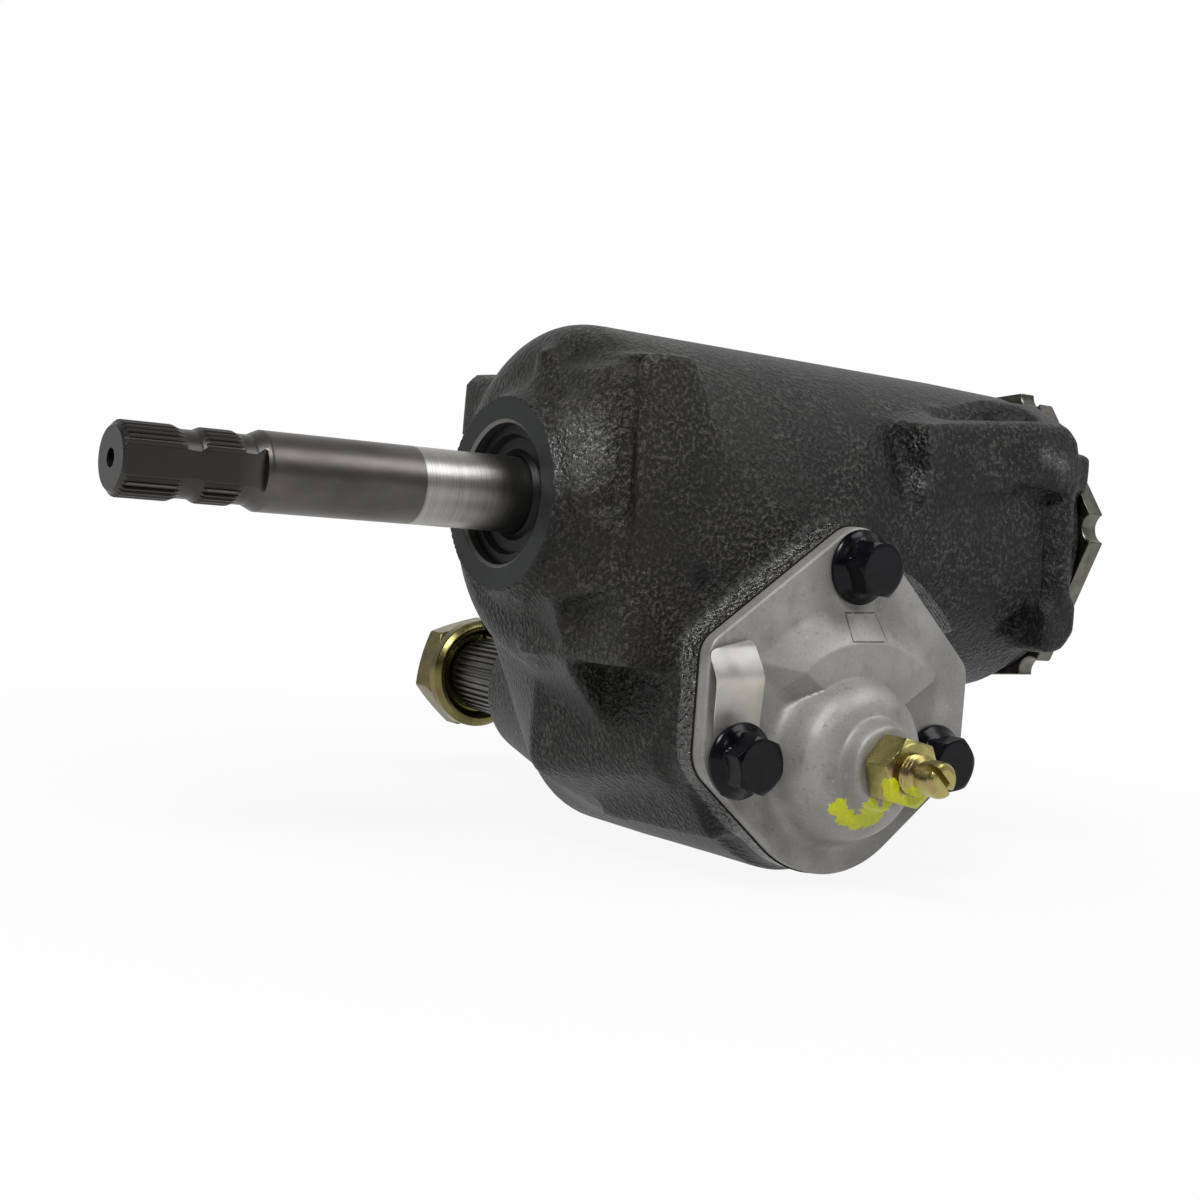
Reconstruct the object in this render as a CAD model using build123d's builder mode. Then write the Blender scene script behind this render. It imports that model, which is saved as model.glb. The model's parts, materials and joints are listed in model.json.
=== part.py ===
"""Manual recirculating-ball steering gearbox with its sector shaft at right angles to the worm.

The splined input shaft turns the worm. The ball nut runs along it, and the rack under the
nut swings the three-toothed sector shaft, which carries the pitman arm at the back.
"""

import os
from math import acos, cos, pi, radians, sin, tan

from build123d import *

os.makedirs("parts", exist_ok=True)

# Frame: the origin is midway between the two upper frame bolts on the mounting face, X runs
# along the worm away from the steering column, Y points out of that face and Z is up.
bolt_span = 135.0
lower_bolt_drop = 48.0
frame_tap_r = 4.7
frame_tap_depth = 17.0

# Gear train: the worm crosses the sector shaft at the centre distance.
worm_y = -50.0
worm_z = -24.0
sector_x = -17.5
centre_distance = 63.0
worm_lead = 10.0
steering_ratio = 24.0
sector_swing = 36.0
pressure_angle = radians(25)
sector_tooth_count = 15
addendum = 4.0
dedendum = 5.2
backlash = 0.4
gear_width = 42.0
sector_z = worm_z - centre_distance
pitch_r = steering_ratio * worm_lead / (2 * pi)
tooth_pitch = 2 * pi * pitch_r / sector_tooth_count
nut_travel = pitch_r * radians(sector_swing)

# Ball screw.
ball_r = 3.57
ball_circle_r = 13.6
worm_r = 12.9
nut_length = 64.0
nut_width = 48.0
nut_top = 25.0
nut_bore_r = 14.3
guide_r = 4.4

# Input shaft, measured from the face of the input boss outwards.
input_face_x = -95.5
shaft_r = 10.4
shaft_length_out = 111.2
spline_r = 9.525
spline_teeth = 36
spline_depth = 0.75
spline_length = 15.4
second_spline_start = 22.0
second_spline_length = 9.3
shaft_cone_end = 38.2
pinch_groove_r = 8.6
flat_depth = 7.9

# Housing.
closed_face_x = 87.5
input_boss_r = 28.0
seal_bore_r = 19.4
chamber_r = 49.3
chamber_end_r = 47.0
chamber_bore_r = 38.6
shoulder_x = 10.0
shoulder_round = 13.5
front_wall = 20.0
thread_r = 36.0
cover_face_y = -106.0
pad_arc_r = 57.0
back_wall_y = -8.0
sector_case_r = 35.8
case_middle_y = -40.0
pitman_face_y = 36.0
pitman_face_r = 22.0
swing_bore_r = 44.0

# Side cover: three bolts, a fan that clears the sector and a stepped hub.
side_bolt_x = 35.5
side_bolt_z = -1.0
top_bolt_z = 52.0
bolt_shank_r = 4.6
gasket_thickness = 0.5
cover_thickness = 4.0
fan_r = 41.0
fan_half_angle = 52.0
hub_r = 22.3
hub_top = 14.5
screw_boss_r = 12.5
nut_seat_r = 10.2
nut_seat_height = 20.0

# Sector shaft.
journal_r = 14.3
bushing_wall = 2.0
seal_outer_r = 17.7
seal_depth = 9.0
serration_r = 13.3
serration_depth = 0.9
serration_taper = 0.8
serration_length = 34.0
pitman_thread_r = 11.1
pitman_nut_flats = 33.34
pitman_nut_y = 78.8
pitman_nut_thickness = 10.5
washer_thickness = 5.3

# Clearances.
running_fit = 0.05

case_axis = Axis((0, worm_y, worm_z), (1, 0, 0))
sector_axis = Axis((sector_x, 0, sector_z), (0, 1, 0))
# Half sections: along the worm axis with the radius upwards, and the same for the sector.
worm_section = Plane(origin=(0, worm_y, worm_z), x_dir=(1, 0, 0), z_dir=(0, -1, 0))
sector_section = Plane(origin=(sector_x, 0, sector_z), x_dir=(0, 1, 0), z_dir=(1, 0, 0))


def worm_plane(x):
    """Plane across the worm axis at x: its own x is +Y, its own y is +Z."""
    return Plane(origin=(x, worm_y, worm_z), x_dir=(0, 1, 0), z_dir=(1, 0, 0))


def side_plane(y):
    """Plane along the worm axis at y from it, seen from the cover: its normal is -Y."""
    return Plane(origin=(input_face_x, worm_y + y, worm_z), x_dir=(1, 0, 0), z_dir=(0, -1, 0))


def cover_plane(y):
    """Plane across the sector axis at y, seen from the cover: its normal is -Y."""
    return Plane(origin=(sector_x, y, sector_z), x_dir=(1, 0, 0), z_dir=(0, -1, 0))


def half_section(plane, points):
    """A closed outline on a half-section plane, ready to be turned."""
    with BuildSketch(plane) as outline:
        with BuildLine():
            Polyline(*points, close=True)
        make_face()
    return outline.sketch


def from_boss(points):
    """Shift outline points given from the input boss face to the frame."""
    return [(input_face_x + x, r) for x, r in points]


def hexagon_r(flats):
    """Corner radius of a hexagon from its width across flats."""
    return flats / (2 * cos(pi / 6))


def toothed_outline(tip_r, depth, teeth):
    """Closed outline of straight-sided spline teeth round a shaft."""
    points = []
    for tooth in range(teeth):
        for share, sink in ((-0.32, depth), (-0.18, 0), (0.18, 0), (0.32, depth)):
            angle = 2 * pi * (tooth + share) / teeth
            points.append(((tip_r - sink) * cos(angle), (tip_r - sink) * sin(angle)))
    with BuildSketch() as outline:
        with BuildLine():
            Polyline(*points, close=True)
        make_face()
    return outline.sketch


def fan_outline(radius, half_angle):
    """A pie slice about the sector axis, opening upwards."""
    with BuildLine() as outline:
        rim = CenterArc((0, 0), radius, 90 - half_angle, 2 * half_angle)
        Line((0, 0), rim @ 0)
        Line((0, 0), rim @ 1)
    return outline.line


def band(circles, grow=0.0):
    """Outline of a band pulled round circles, each given as x, z and radius."""
    with BuildSketch() as outline:
        for x, z, radius in circles:
            with Locations((x, z)):
                Circle(radius + grow)
        make_hull()
    return outline.sketch


def cover_outline(grow=0.0):
    """The cover's outline: a band round its bolt corners and the sector bore."""
    corners = [(0.8, top_bolt_z, 10.8), (-41.0, 26.0, 7.0), (39.5, 22.5, 7.0)]
    return band([(0, 0, 32.6), *corners, (-36.5, 1.5, 11.0), (36.0, 1.5, 11.0)], grow)


cover_bolt_places = [(-side_bolt_x, side_bolt_z), (side_bolt_x, side_bolt_z), (0.8, top_bolt_z)]
frame_bolt_places = [(-bolt_span / 2, 0), (bolt_span / 2, 0), (bolt_span / 2, -lower_bolt_drop)]

# Housing: the worm chamber, the sector case, the cover pad and the bolt bosses.
front_plane = Plane(origin=(0, 0, 0), x_dir=(1, 0, 0), z_dir=(0, -1, 0))
case_length = closed_face_x - input_face_x
boss_width = 24.0
boss_height = 22.0
side_wall_y = -48.8
pad_depth = 14.0

with BuildPart() as housing:
    chamber_points = [(0, 0), (0, input_boss_r), (4, input_boss_r + 0.6), (shoulder_x, input_boss_r + 4)]
    chamber_points += [(shoulder_x, chamber_r)]
    chamber_points += [(150, chamber_end_r), (case_length, chamber_end_r - 1.2), (case_length, 0)]
    revolve(half_section(worm_section, from_boss(chamber_points)), axis=case_axis)
    rims = housing.edges().filter_by(GeomType.CIRCLE)
    fillet(rims.filter_by(lambda edge: abs(edge.radius - chamber_r) < 0.01), radius=shoulder_round)

    # Deeper underside towards the closed end.
    with BuildSketch(worm_plane(input_face_x + 112)):
        with Locations((0, -2.4)):
            Circle(chamber_end_r - 0.6)
    extrude(amount=64)

    # Columns of the frame bolts, from the mounting face through to the near side.
    with BuildSketch(front_plane):
        with Locations(*frame_bolt_places):
            RectangleRounded(boss_width, boss_height, 6)
    extrude(amount=-worm_y)

    # Near block over the far bolt: its left flank and its top rise gently out of the chamber.
    with BuildSketch(side_plane(-30)):
        with BuildLine():
            block_foot = [(98, 31), (150, 43), (172, 43), (180, 38), (181, 12), (164, 8)]
            Polyline(*block_foot, (130, 4), (104, 2), close=True)
        make_face()
    with BuildSketch(side_plane(side_wall_y + 0.6)):
        with BuildLine():
            block_front = [(112, 31), (157, 35), (171, 35), (175.5, 31), (177, 17), (164, 15.6)]
            Polyline(*block_front, (137, 13.5), (118, 9), close=True)
        make_face()
    loft(ruled=True)
    with BuildSketch(worm_plane(input_face_x + 117)):
        with Locations((-40.5, 39.5)):
            Circle(5)
    extrude(amount=44, mode=Mode.SUBTRACT)

    # End strip below the block, with the lower boss, a casting groove and a pocket beside them.
    with BuildSketch(side_plane(0)):
        with BuildLine():
            strip = [(165, 20), (176.5, 20), (178.5, -14), (181.5, -17), (182, -27), (176.5, -33)]
            Polyline(*strip, (169.5, -34.5), (166, -31), close=True)
        make_face()
    extrude(amount=-side_wall_y + 0.4, taper=1)
    with BuildSketch(side_plane(side_wall_y + 5.5)):
        with BuildLine():
            Polyline((164.6, 14.5), (166.8, 14.5), (170.6, -17), (168.4, -17), close=True)
        make_face()
    extrude(amount=8, mode=Mode.SUBTRACT)
    with BuildSketch(side_plane(side_wall_y + 11)):
        with BuildLine():
            Polyline((152, -30), (167.2, -18.5), (168, -30.5), (156, -32.5), close=True)
        make_face()
    extrude(amount=14, mode=Mode.SUBTRACT)
    with BuildSketch(worm_plane(input_face_x + 171)):
        with Locations((-41.2, 22)):
            RectangleRounded(12.4, 12.5, 2.5)
    extrude(amount=case_length - 171)

    # Near side of the neck between the input boss and the flat wall.
    with BuildSketch(side_plane(-20)):
        with BuildLine():
            Polyline((1.5, 27), (30, 38), (30, -36), (1.5, -27), close=True)
        make_face()
    extrude(amount=24, taper=17)

    # Flat near wall: the upper lug, the side of the chamber and the front of the sector case.
    with BuildSketch(side_plane(0)):
        with BuildLine():
            wall_top = [(6, 41), (28, 42), (37, 27), (50, 4), (90, -20)]
            wall_bottom = [(90, -80), (45, -90), (27, -62), (27, -44), (10, -43.5), (10, -10)]
            Polyline(*wall_top, *wall_bottom, close=True)
        make_face()
    extrude(amount=-side_wall_y, taper=2)

    # Chin: the leaning wall that joins the underside of the input boss to the sector case.
    with BuildSketch(side_plane(38)):
        with BuildLine():
            Polyline((12, -18), (21, -31), (31, -52), (42, -66), (78, -66), (78, -18), close=True)
        make_face()
    with BuildSketch(side_plane(-24)):
        with BuildLine():
            Polyline((3, -24), (7.5, -34), (12, -46), (24, -60), (78, -60), (78, -24), close=True)
        make_face()
    loft(ruled=True)

    # Sector case: from the cover pad to its widest section, then drawn in to the rear wall.
    with BuildSketch(cover_plane(case_middle_y)):
        sides = [(-46, 26, 8), (42, 22.5, 9), (-45, -8.5, 9), (38, 0, 13)]
        add(band([(0, 0, sector_case_r), (0.8, 52, 12), *sides]))
    with BuildSketch(cover_plane(cover_face_y + pad_depth - 1)):
        add(cover_outline(2.6))
    loft(ruled=True)
    with BuildSketch(cover_plane(case_middle_y)):
        add(band([(0, 0, sector_case_r), (0.8, 52, 12), *sides]))
    with BuildSketch(cover_plane(back_wall_y)):
        sides = [(-44, 26, 8), (42, 22.5, 9), (-27, 0, 11), (27, 0, 11)]
        add(band([(0, 0, sector_case_r), (0.8, 52, 12), *sides]))
    loft(ruled=True)
    with BuildSketch(cover_plane(cover_face_y)):
        add(cover_outline())
        with BuildLine():
            rim = CenterArc((0, 0), pad_arc_r, 38, 46)
            Line(rim @ 0, (0, 30))
            Line(rim @ 1, (0, 30))
        make_face()
    extrude(amount=-pad_depth, taper=-3)

    # Pitman boss.
    boss_cone = [(back_wall_y - 4, 0), (back_wall_y - 4, 33)]
    boss_cone += [(pitman_face_y, pitman_face_r), (pitman_face_y, 0)]
    revolve(half_section(sector_section, boss_cone), axis=sector_axis)

    # Bores along the worm: seal, bearing cup, chamber and the adjuster's thread.
    bore_points = [(0, 0), (0, seal_bore_r), (10.2, seal_bore_r), (10.2, 21.5), (front_wall, 21.5)]
    bore_points += [(front_wall, chamber_bore_r), (150, chamber_bore_r), (150, thread_r)]
    bore_points += [(case_length, thread_r), (case_length, 0)]
    bores = half_section(worm_section, from_boss(bore_points))
    revolve(bores, axis=case_axis, mode=Mode.SUBTRACT)

    # Sector chamber: a fan-shaped mouth behind the cover, and a wider swing space inside.
    with BuildSketch(cover_plane(cover_face_y)):
        Circle(24.5)
        with BuildLine():
            add(fan_outline(swing_bore_r - 0.8, fan_half_angle + 3))
        make_face()
    extrude(amount=-60, mode=Mode.SUBTRACT)
    with BuildSketch(cover_plane(worm_y - gear_width / 2 - 6)):
        Circle(24.5)
        with BuildLine():
            add(fan_outline(swing_bore_r, 78))
        make_face()
    extrude(amount=-gear_width - 10, mode=Mode.SUBTRACT)

    # Sector shaft bore with its seal counterbore.
    seal_step_y = pitman_face_y - seal_depth
    shaft_bore = [(worm_y, 0), (worm_y, journal_r + bushing_wall), (seal_step_y, journal_r + bushing_wall)]
    shaft_bore += [(seal_step_y, seal_outer_r), (pitman_face_y, seal_outer_r), (pitman_face_y, 0)]
    revolve(half_section(sector_section, shaft_bore), axis=sector_axis, mode=Mode.SUBTRACT)

    # Tapped holes: the frame bolts from the back and the cover bolts from the front.
    with BuildSketch(front_plane):
        with Locations(*frame_bolt_places):
            Circle(frame_tap_r)
    extrude(amount=frame_tap_depth, mode=Mode.SUBTRACT)
    with BuildSketch(cover_plane(cover_face_y)):
        with Locations(*cover_bolt_places):
            Circle(bolt_shank_r + 0.1)
    extrude(amount=-21, mode=Mode.SUBTRACT)

# Side cover.
cover_front_y = cover_face_y - gasket_thickness - cover_thickness
cover_seat_y = cover_face_y - gasket_thickness
nut_seat_y = cover_front_y - nut_seat_height
screw_r = 5.56
shaft_end_y = cover_front_y - 9.0

with BuildPart() as side_cover:
    with BuildSketch(cover_plane(cover_seat_y)):
        add(cover_outline())
    extrude(amount=cover_thickness)
    with BuildSketch(cover_plane(cover_front_y)):
        with BuildLine():
            add(fan_outline(fan_r, fan_half_angle))
        make_face()
    extrude(amount=2.6, taper=25)
    with BuildSketch(cover_plane(cover_front_y)):
        with BuildLine():
            add(fan_outline(30.5, fan_half_angle))
        make_face()
    extrude(amount=5.2, taper=18)
    hub_points = [(cover_front_y, 0), (cover_front_y, hub_r + 2.4), (cover_front_y - 2.5, hub_r + 0.8)]
    hub_points += [(cover_front_y - 7, hub_r), (cover_front_y - 11.5, hub_r - 2.2)]
    hub_points += [(cover_front_y - hub_top, screw_boss_r + 2.5), (cover_front_y - hub_top, screw_boss_r)]
    hub_points += [(nut_seat_y + 0.8, screw_boss_r - 0.6)]
    hub_points += [(nut_seat_y, nut_seat_r), (nut_seat_y, 0)]
    revolve(half_section(sector_section, hub_points), axis=sector_axis)
    # Inner sleeve that carries the bushing.
    with BuildSketch(cover_plane(cover_seat_y)):
        Circle(journal_r + bushing_wall + 4)
    extrude(amount=-26)
    bore_length = cover_seat_y + 26 - shaft_end_y
    with BuildSketch(cover_plane(cover_seat_y + 26)):
        Circle(journal_r + bushing_wall)
    extrude(amount=bore_length + 1.5, mode=Mode.SUBTRACT)
    with BuildSketch(cover_plane(shaft_end_y)):
        Circle(screw_r + 0.1)
    extrude(amount=40, mode=Mode.SUBTRACT)
    with BuildSketch(cover_plane(cover_seat_y)):
        with Locations(*cover_bolt_places):
            Circle(bolt_shank_r + 0.5)
    extrude(amount=30, mode=Mode.SUBTRACT)

# Gasket between the cover and its pad.
with BuildPart() as cover_gasket:
    with BuildSketch(cover_plane(cover_face_y)):
        add(cover_outline(0.4))
        Circle(24.0, mode=Mode.SUBTRACT)
        with BuildLine():
            add(fan_outline(swing_bore_r - 1.2, fan_half_angle + 3))
        make_face(mode=Mode.SUBTRACT)
        with Locations(*cover_bolt_places):
            Circle(bolt_shank_r + 0.5, mode=Mode.SUBTRACT)
    extrude(amount=gasket_thickness)

# Blank tag, held under the left bolt, its upper end curling away from the cover.
tag_thickness = 0.5
tag_width = 15.2
tag_lean = radians(8)
tag_straight = 26.0
tag_curl_r = 11.0
tag_curl = 42.0
tag_foot = (sector_x - side_bolt_x - 2.0, cover_front_y, sector_z + side_bolt_z)
along_tag = (-sin(tag_lean), 0, cos(tag_lean))
across_tag = (cos(tag_lean), 0, sin(tag_lean))
tag_side = Plane(origin=tag_foot, x_dir=along_tag, z_dir=across_tag)

with BuildPart() as id_tag:
    with BuildSketch(tag_side.offset(-tag_width / 2)):
        with BuildLine():
            foot = Line((-8, 0), (tag_straight, 0))
            curl = CenterArc((tag_straight, tag_curl_r), tag_curl_r, -90, tag_curl)
            inner = CenterArc((tag_straight, tag_curl_r), tag_curl_r - tag_thickness, -90, tag_curl)
            Line(curl @ 1, inner @ 1)
            Line(inner @ 0, (-8, tag_thickness))
            Line((-8, tag_thickness), foot @ 0)
        make_face()
    extrude(amount=tag_width)
    with BuildSketch(cover_plane(cover_front_y - 3)):
        with Locations(cover_bolt_places[0]):
            Circle(bolt_shank_r + 0.4)
    extrude(amount=-6, mode=Mode.SUBTRACT)

# Cover bolts: hex flange heads.
bolt_flats = 14.29
bolt_flange_r = 10.3
bolt_head = 9.9
bolt_length = 22.0

with BuildPart() as cover_bolts:
    for place in cover_bolt_places:
        lift = tag_thickness if place == cover_bolt_places[0] else 0.0
        seat = cover_plane(cover_front_y - lift)
        with BuildSketch(seat):
            with Locations(place):
                Circle(bolt_flange_r)
        extrude(amount=1.6)
        with BuildSketch(seat.offset(1.6)):
            with Locations(place):
                Circle(bolt_flange_r)
        extrude(amount=1.6, taper=50)
        with BuildSketch(seat.offset(1.6)):
            with Locations(place):
                RegularPolygon(hexagon_r(bolt_flats), 6, rotation=12)
        extrude(amount=bolt_head - 1.6)
        with BuildSketch(seat):
            with Locations(place):
                Circle(bolt_shank_r)
        extrude(amount=-bolt_length)

# Lash adjuster: the screw's head lies in the T-slot of the sector shaft.
slot_depth = 7.0
screw_head_r = 8.6
screw_head_thickness = 3.4
screw_tip_y = worm_y - 101.4
lash_nut_flats = 17.0
lash_nut_thickness = 9.6
head_y = shaft_end_y + 2.2

with BuildPart() as lash_adjuster_screw:
    screw_points = [(head_y + screw_head_thickness, 0), (head_y + screw_head_thickness, screw_head_r)]
    screw_points += [(head_y, screw_head_r), (head_y, screw_r), (screw_tip_y + 10, screw_r)]
    screw_points += [(screw_tip_y + 8.6, screw_r - 1.3), (screw_tip_y + 6.6, screw_r - 1.3)]
    screw_points += [(screw_tip_y + 5.6, screw_r - 0.7), (screw_tip_y + 0.8, screw_r - 0.7)]
    screw_points += [(screw_tip_y, screw_r - 1.6), (screw_tip_y, 0)]
    revolve(half_section(sector_section, screw_points), axis=sector_axis)
    with BuildSketch(cover_plane(screw_tip_y)):
        Rectangle(14, 1.7, rotation=-42)
    extrude(amount=-3.4, mode=Mode.SUBTRACT)

with BuildPart() as lash_shim:
    with BuildSketch(cover_plane(head_y)):
        Circle(screw_head_r)
        Circle(screw_r + 0.2, mode=Mode.SUBTRACT)
    extrude(amount=0.8)

with BuildPart() as lash_adjuster_nut:
    with BuildSketch(cover_plane(nut_seat_y)):
        RegularPolygon(hexagon_r(lash_nut_flats), 6, rotation=48)
        Circle(screw_r + 0.02, mode=Mode.SUBTRACT)
    extrude(amount=lash_nut_thickness)
    corners = half_section(
        sector_section,
        [
            (nut_seat_y - lash_nut_thickness, lash_nut_flats / 2 - 0.2),
            (nut_seat_y - lash_nut_thickness, hexagon_r(lash_nut_flats) + 1),
            (nut_seat_y - lash_nut_thickness + 1.2, hexagon_r(lash_nut_flats) + 1),
            (nut_seat_y - lash_nut_thickness + 1.2, lash_nut_flats / 2 + 1.9),
        ],
    )
    revolve(corners, axis=sector_axis, mode=Mode.SUBTRACT)

# Sector shaft with its three teeth, cut true to the rack by the involute of the base circle.
base_r = pitch_r * cos(pressure_angle)
involute_at_pitch = tan(pressure_angle) - pressure_angle
half_tooth_angle = (tooth_pitch / 2 - backlash) / 2 / pitch_r


def flank_point(radius, turn, side):
    """Point of a tooth flank at a radius; side is -1 or 1, turn is the tooth's own angle."""
    angle_there = acos(min(base_r / radius, 1.0))
    half_angle = half_tooth_angle + involute_at_pitch - (tan(angle_there) - angle_there)
    return (radius * sin(turn + side * half_angle), radius * cos(turn + side * half_angle))


root_r = pitch_r - dedendum
tip_r = pitch_r + addendum
flank_radii = [base_r + 0.02, pitch_r - 1.4, pitch_r + 1.2, tip_r]
shaft_nut_end_y = pitman_nut_y + pitman_nut_thickness + 3.5
serration_start_y = pitman_face_y + 3.0
serration_end_y = serration_start_y + serration_length

with BuildPart() as sector_shaft:
    shaft_points = [(shaft_end_y, 0), (shaft_end_y, journal_r), (serration_start_y - 2, journal_r)]
    shaft_points += [(serration_start_y, serration_r - 2), (serration_end_y, serration_r - 2)]
    shaft_points += [(serration_end_y, pitman_thread_r)]
    shaft_points += [(shaft_nut_end_y - 1.5, pitman_thread_r), (shaft_nut_end_y, pitman_thread_r - 1.5)]
    shaft_points += [(shaft_nut_end_y, 0)]
    revolve(half_section(sector_section, shaft_points), axis=sector_axis)
    with BuildSketch(cover_plane(serration_start_y)):
        add(toothed_outline(serration_r, serration_depth, spline_teeth))
    with BuildSketch(cover_plane(serration_end_y)):
        add(toothed_outline(serration_r - serration_taper, serration_depth, spline_teeth))
    loft(ruled=True)
    with BuildSketch(cover_plane(worm_y - gear_width / 2)):
        with BuildLine():
            add(fan_outline(root_r, 36))
        make_face()
        for number in (-1, 0, 1):
            turn = number * 2 * pi / sector_tooth_count
            left = [flank_point(radius, turn, -1) for radius in flank_radii]
            right = [flank_point(radius, turn, 1) for radius in flank_radii]
            with BuildLine():
                left_flank = Spline(*left)
                right_flank = Spline(*right)
                Line(left_flank @ 1, right_flank @ 1)
                Polyline(left_flank @ 0, (28 * sin(turn), 28 * cos(turn)), right_flank @ 0)
            make_face()
    extrude(amount=-gear_width)
    # T-slot for the head of the lash adjuster.
    with BuildSketch(cover_plane(shaft_end_y)):
        Rectangle(40, 2 * screw_r + 0.8)
    extrude(amount=-2.2, mode=Mode.SUBTRACT)
    with BuildSketch(cover_plane(head_y - 0.9)):
        Rectangle(40, 2 * screw_head_r + 0.5)
    extrude(amount=-screw_head_thickness - 1.2, mode=Mode.SUBTRACT)

# Plain bushings of the sector shaft.
bushing_r = journal_r + bushing_wall
bushing_length = 17.0

with BuildPart() as sector_bushings:
    for start in (worm_y + gear_width / 2 + 5.5, pitman_face_y - 9.5 - bushing_length):
        with BuildSketch(cover_plane(start)):
            Circle(bushing_r)
            Circle(journal_r + running_fit, mode=Mode.SUBTRACT)
        extrude(amount=-bushing_length)

with BuildPart() as cover_bushing:
    with BuildSketch(cover_plane(cover_seat_y + 25.5)):
        Circle(bushing_r)
        Circle(journal_r + running_fit, mode=Mode.SUBTRACT)
    extrude(amount=30)

with BuildPart() as sector_seal:
    seal_points = [(seal_step_y, seal_outer_r), (seal_step_y, journal_r + 0.6)]
    seal_points += [(pitman_face_y - 6, journal_r + 0.1), (pitman_face_y - 2.5, journal_r + 0.8)]
    seal_points += [(pitman_face_y - 0.6, journal_r + 0.8), (pitman_face_y - 0.6, seal_outer_r)]
    revolve(half_section(sector_section, seal_points), axis=sector_axis)

# Pitman nut and its spring washer, which is split at the top.
with BuildPart() as pitman_nut:
    with BuildSketch(cover_plane(pitman_nut_y)):
        RegularPolygon(hexagon_r(pitman_nut_flats), 6, rotation=17)
        Circle(pitman_thread_r + 0.02, mode=Mode.SUBTRACT)
    extrude(amount=-pitman_nut_thickness)
    far_y = pitman_nut_y + pitman_nut_thickness
    for face_y, inward in ((pitman_nut_y, 1.6), (far_y, -1.6)):
        corner_points = [(face_y, pitman_nut_flats / 2 - 0.3), (face_y, 24), (face_y + inward, 24)]
        corner_points += [(face_y + inward, pitman_nut_flats / 2 + 2.6)]
        revolve(half_section(sector_section, corner_points), axis=sector_axis, mode=Mode.SUBTRACT)

with BuildPart() as pitman_lock_washer:
    near_y = pitman_nut_y - washer_thickness
    washer_points = [(pitman_nut_y, 12.2), (pitman_nut_y, 18.5), (near_y + 1.6, 18.5)]
    washer_points += [(near_y, 16.8), (near_y, 15.4), (near_y + 2.4, 13.4), (near_y + 2.4, 12.2)]
    revolve(half_section(sector_section, washer_points), axis=sector_axis)
    with BuildSketch(cover_plane(near_y - 1)):
        with Locations((0, 15)):
            Rectangle(1.2, 8, rotation=20)
    extrude(amount=-washer_thickness - 2, mode=Mode.SUBTRACT)

# Worm shaft: the splined input shaft with the worm's helical ball groove.
worm_start = 21.5
worm_end = 132.5
shaft_far_end = 158.0

with BuildPart() as ball_groove:
    turns = 12
    track = Helix(
        pitch=worm_lead,
        height=turns * worm_lead,
        radius=ball_circle_r,
        center=(sector_x - turns * worm_lead / 2, worm_y, worm_z),
        direction=(1, 0, 0),
    )
    with BuildSketch(Plane(origin=track @ 0, z_dir=track % 0)):
        RegularPolygon(ball_r + 0.25, 8)
    sweep(path=track, is_frenet=True)

with BuildPart() as worm_shaft:
    out = -shaft_length_out
    splines_end = out + second_spline_start + second_spline_length
    spline_root_r = spline_r - spline_depth
    shaft_line = [(out, 0), (out, spline_root_r), (out + spline_length, spline_root_r)]
    shaft_line += [(out + spline_length, pinch_groove_r), (out + second_spline_start, pinch_groove_r)]
    shaft_line += [(out + second_spline_start, spline_root_r), (splines_end, spline_root_r)]
    shaft_line += [(splines_end, spline_r - 0.5), (splines_end + 3.5, spline_r - 0.5)]
    shaft_line += [(out + shaft_cone_end, shaft_r), (worm_start - 8, shaft_r)]
    shaft_line += [(worm_start - 4, worm_r - 0.4)]
    shaft_line += [(worm_start, worm_r - 0.4), (worm_start, worm_r - 1.2), (worm_start + 1, worm_r)]
    shaft_line += [(worm_end, worm_r), (worm_end, worm_r - 0.4), (worm_end + 4, worm_r - 0.4)]
    shaft_line += [(worm_end + 8, 9.5), (shaft_far_end, 9.5), (shaft_far_end, 0)]
    revolve(half_section(worm_section, from_boss(shaft_line)), axis=case_axis)
    for start, length in ((out, spline_length), (out + second_spline_start, second_spline_length)):
        with BuildSketch(worm_plane(input_face_x + start)):
            add(toothed_outline(spline_r, spline_depth, spline_teeth))
        extrude(amount=length)
    end_bevel = [(out, spline_r - 1.5), (out, spline_r + 1)]
    end_bevel += [(out + 1.5, spline_r + 1), (out + 1.5, spline_r)]
    revolve(half_section(worm_section, from_boss(end_bevel)), axis=case_axis, mode=Mode.SUBTRACT)
    # Flat for the coupling, open at the column end and closed by a rounded step.
    with BuildSketch(side_plane(-flat_depth)):
        with Locations((out + 14, 0)):
            Rectangle(46, 30)
    extrude(amount=6, mode=Mode.SUBTRACT)
    with BuildSketch(worm_plane(input_face_x + out)):
        Circle(2.4)
    extrude(amount=7, mode=Mode.SUBTRACT)

worm_with_groove = worm_shaft.part - ball_groove.part

# Ball nut, running on the worm, with the rack underneath.
rack_pitch_z = pitch_r - centre_distance
rack_root_z = rack_pitch_z + dedendum
rack_tip_z = rack_pitch_z - addendum


def rack_half_width(z):
    """Half thickness of a rack tooth at a height above the worm axis; the flank leans."""
    return tooth_pitch / 4 + (z - rack_pitch_z) * tan(pressure_angle)


rack_side = (sector_x, worm_y - gear_width / 2, worm_z)
rack_plane = Plane(origin=rack_side, x_dir=(1, 0, 0), z_dir=(0, -1, 0))

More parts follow.
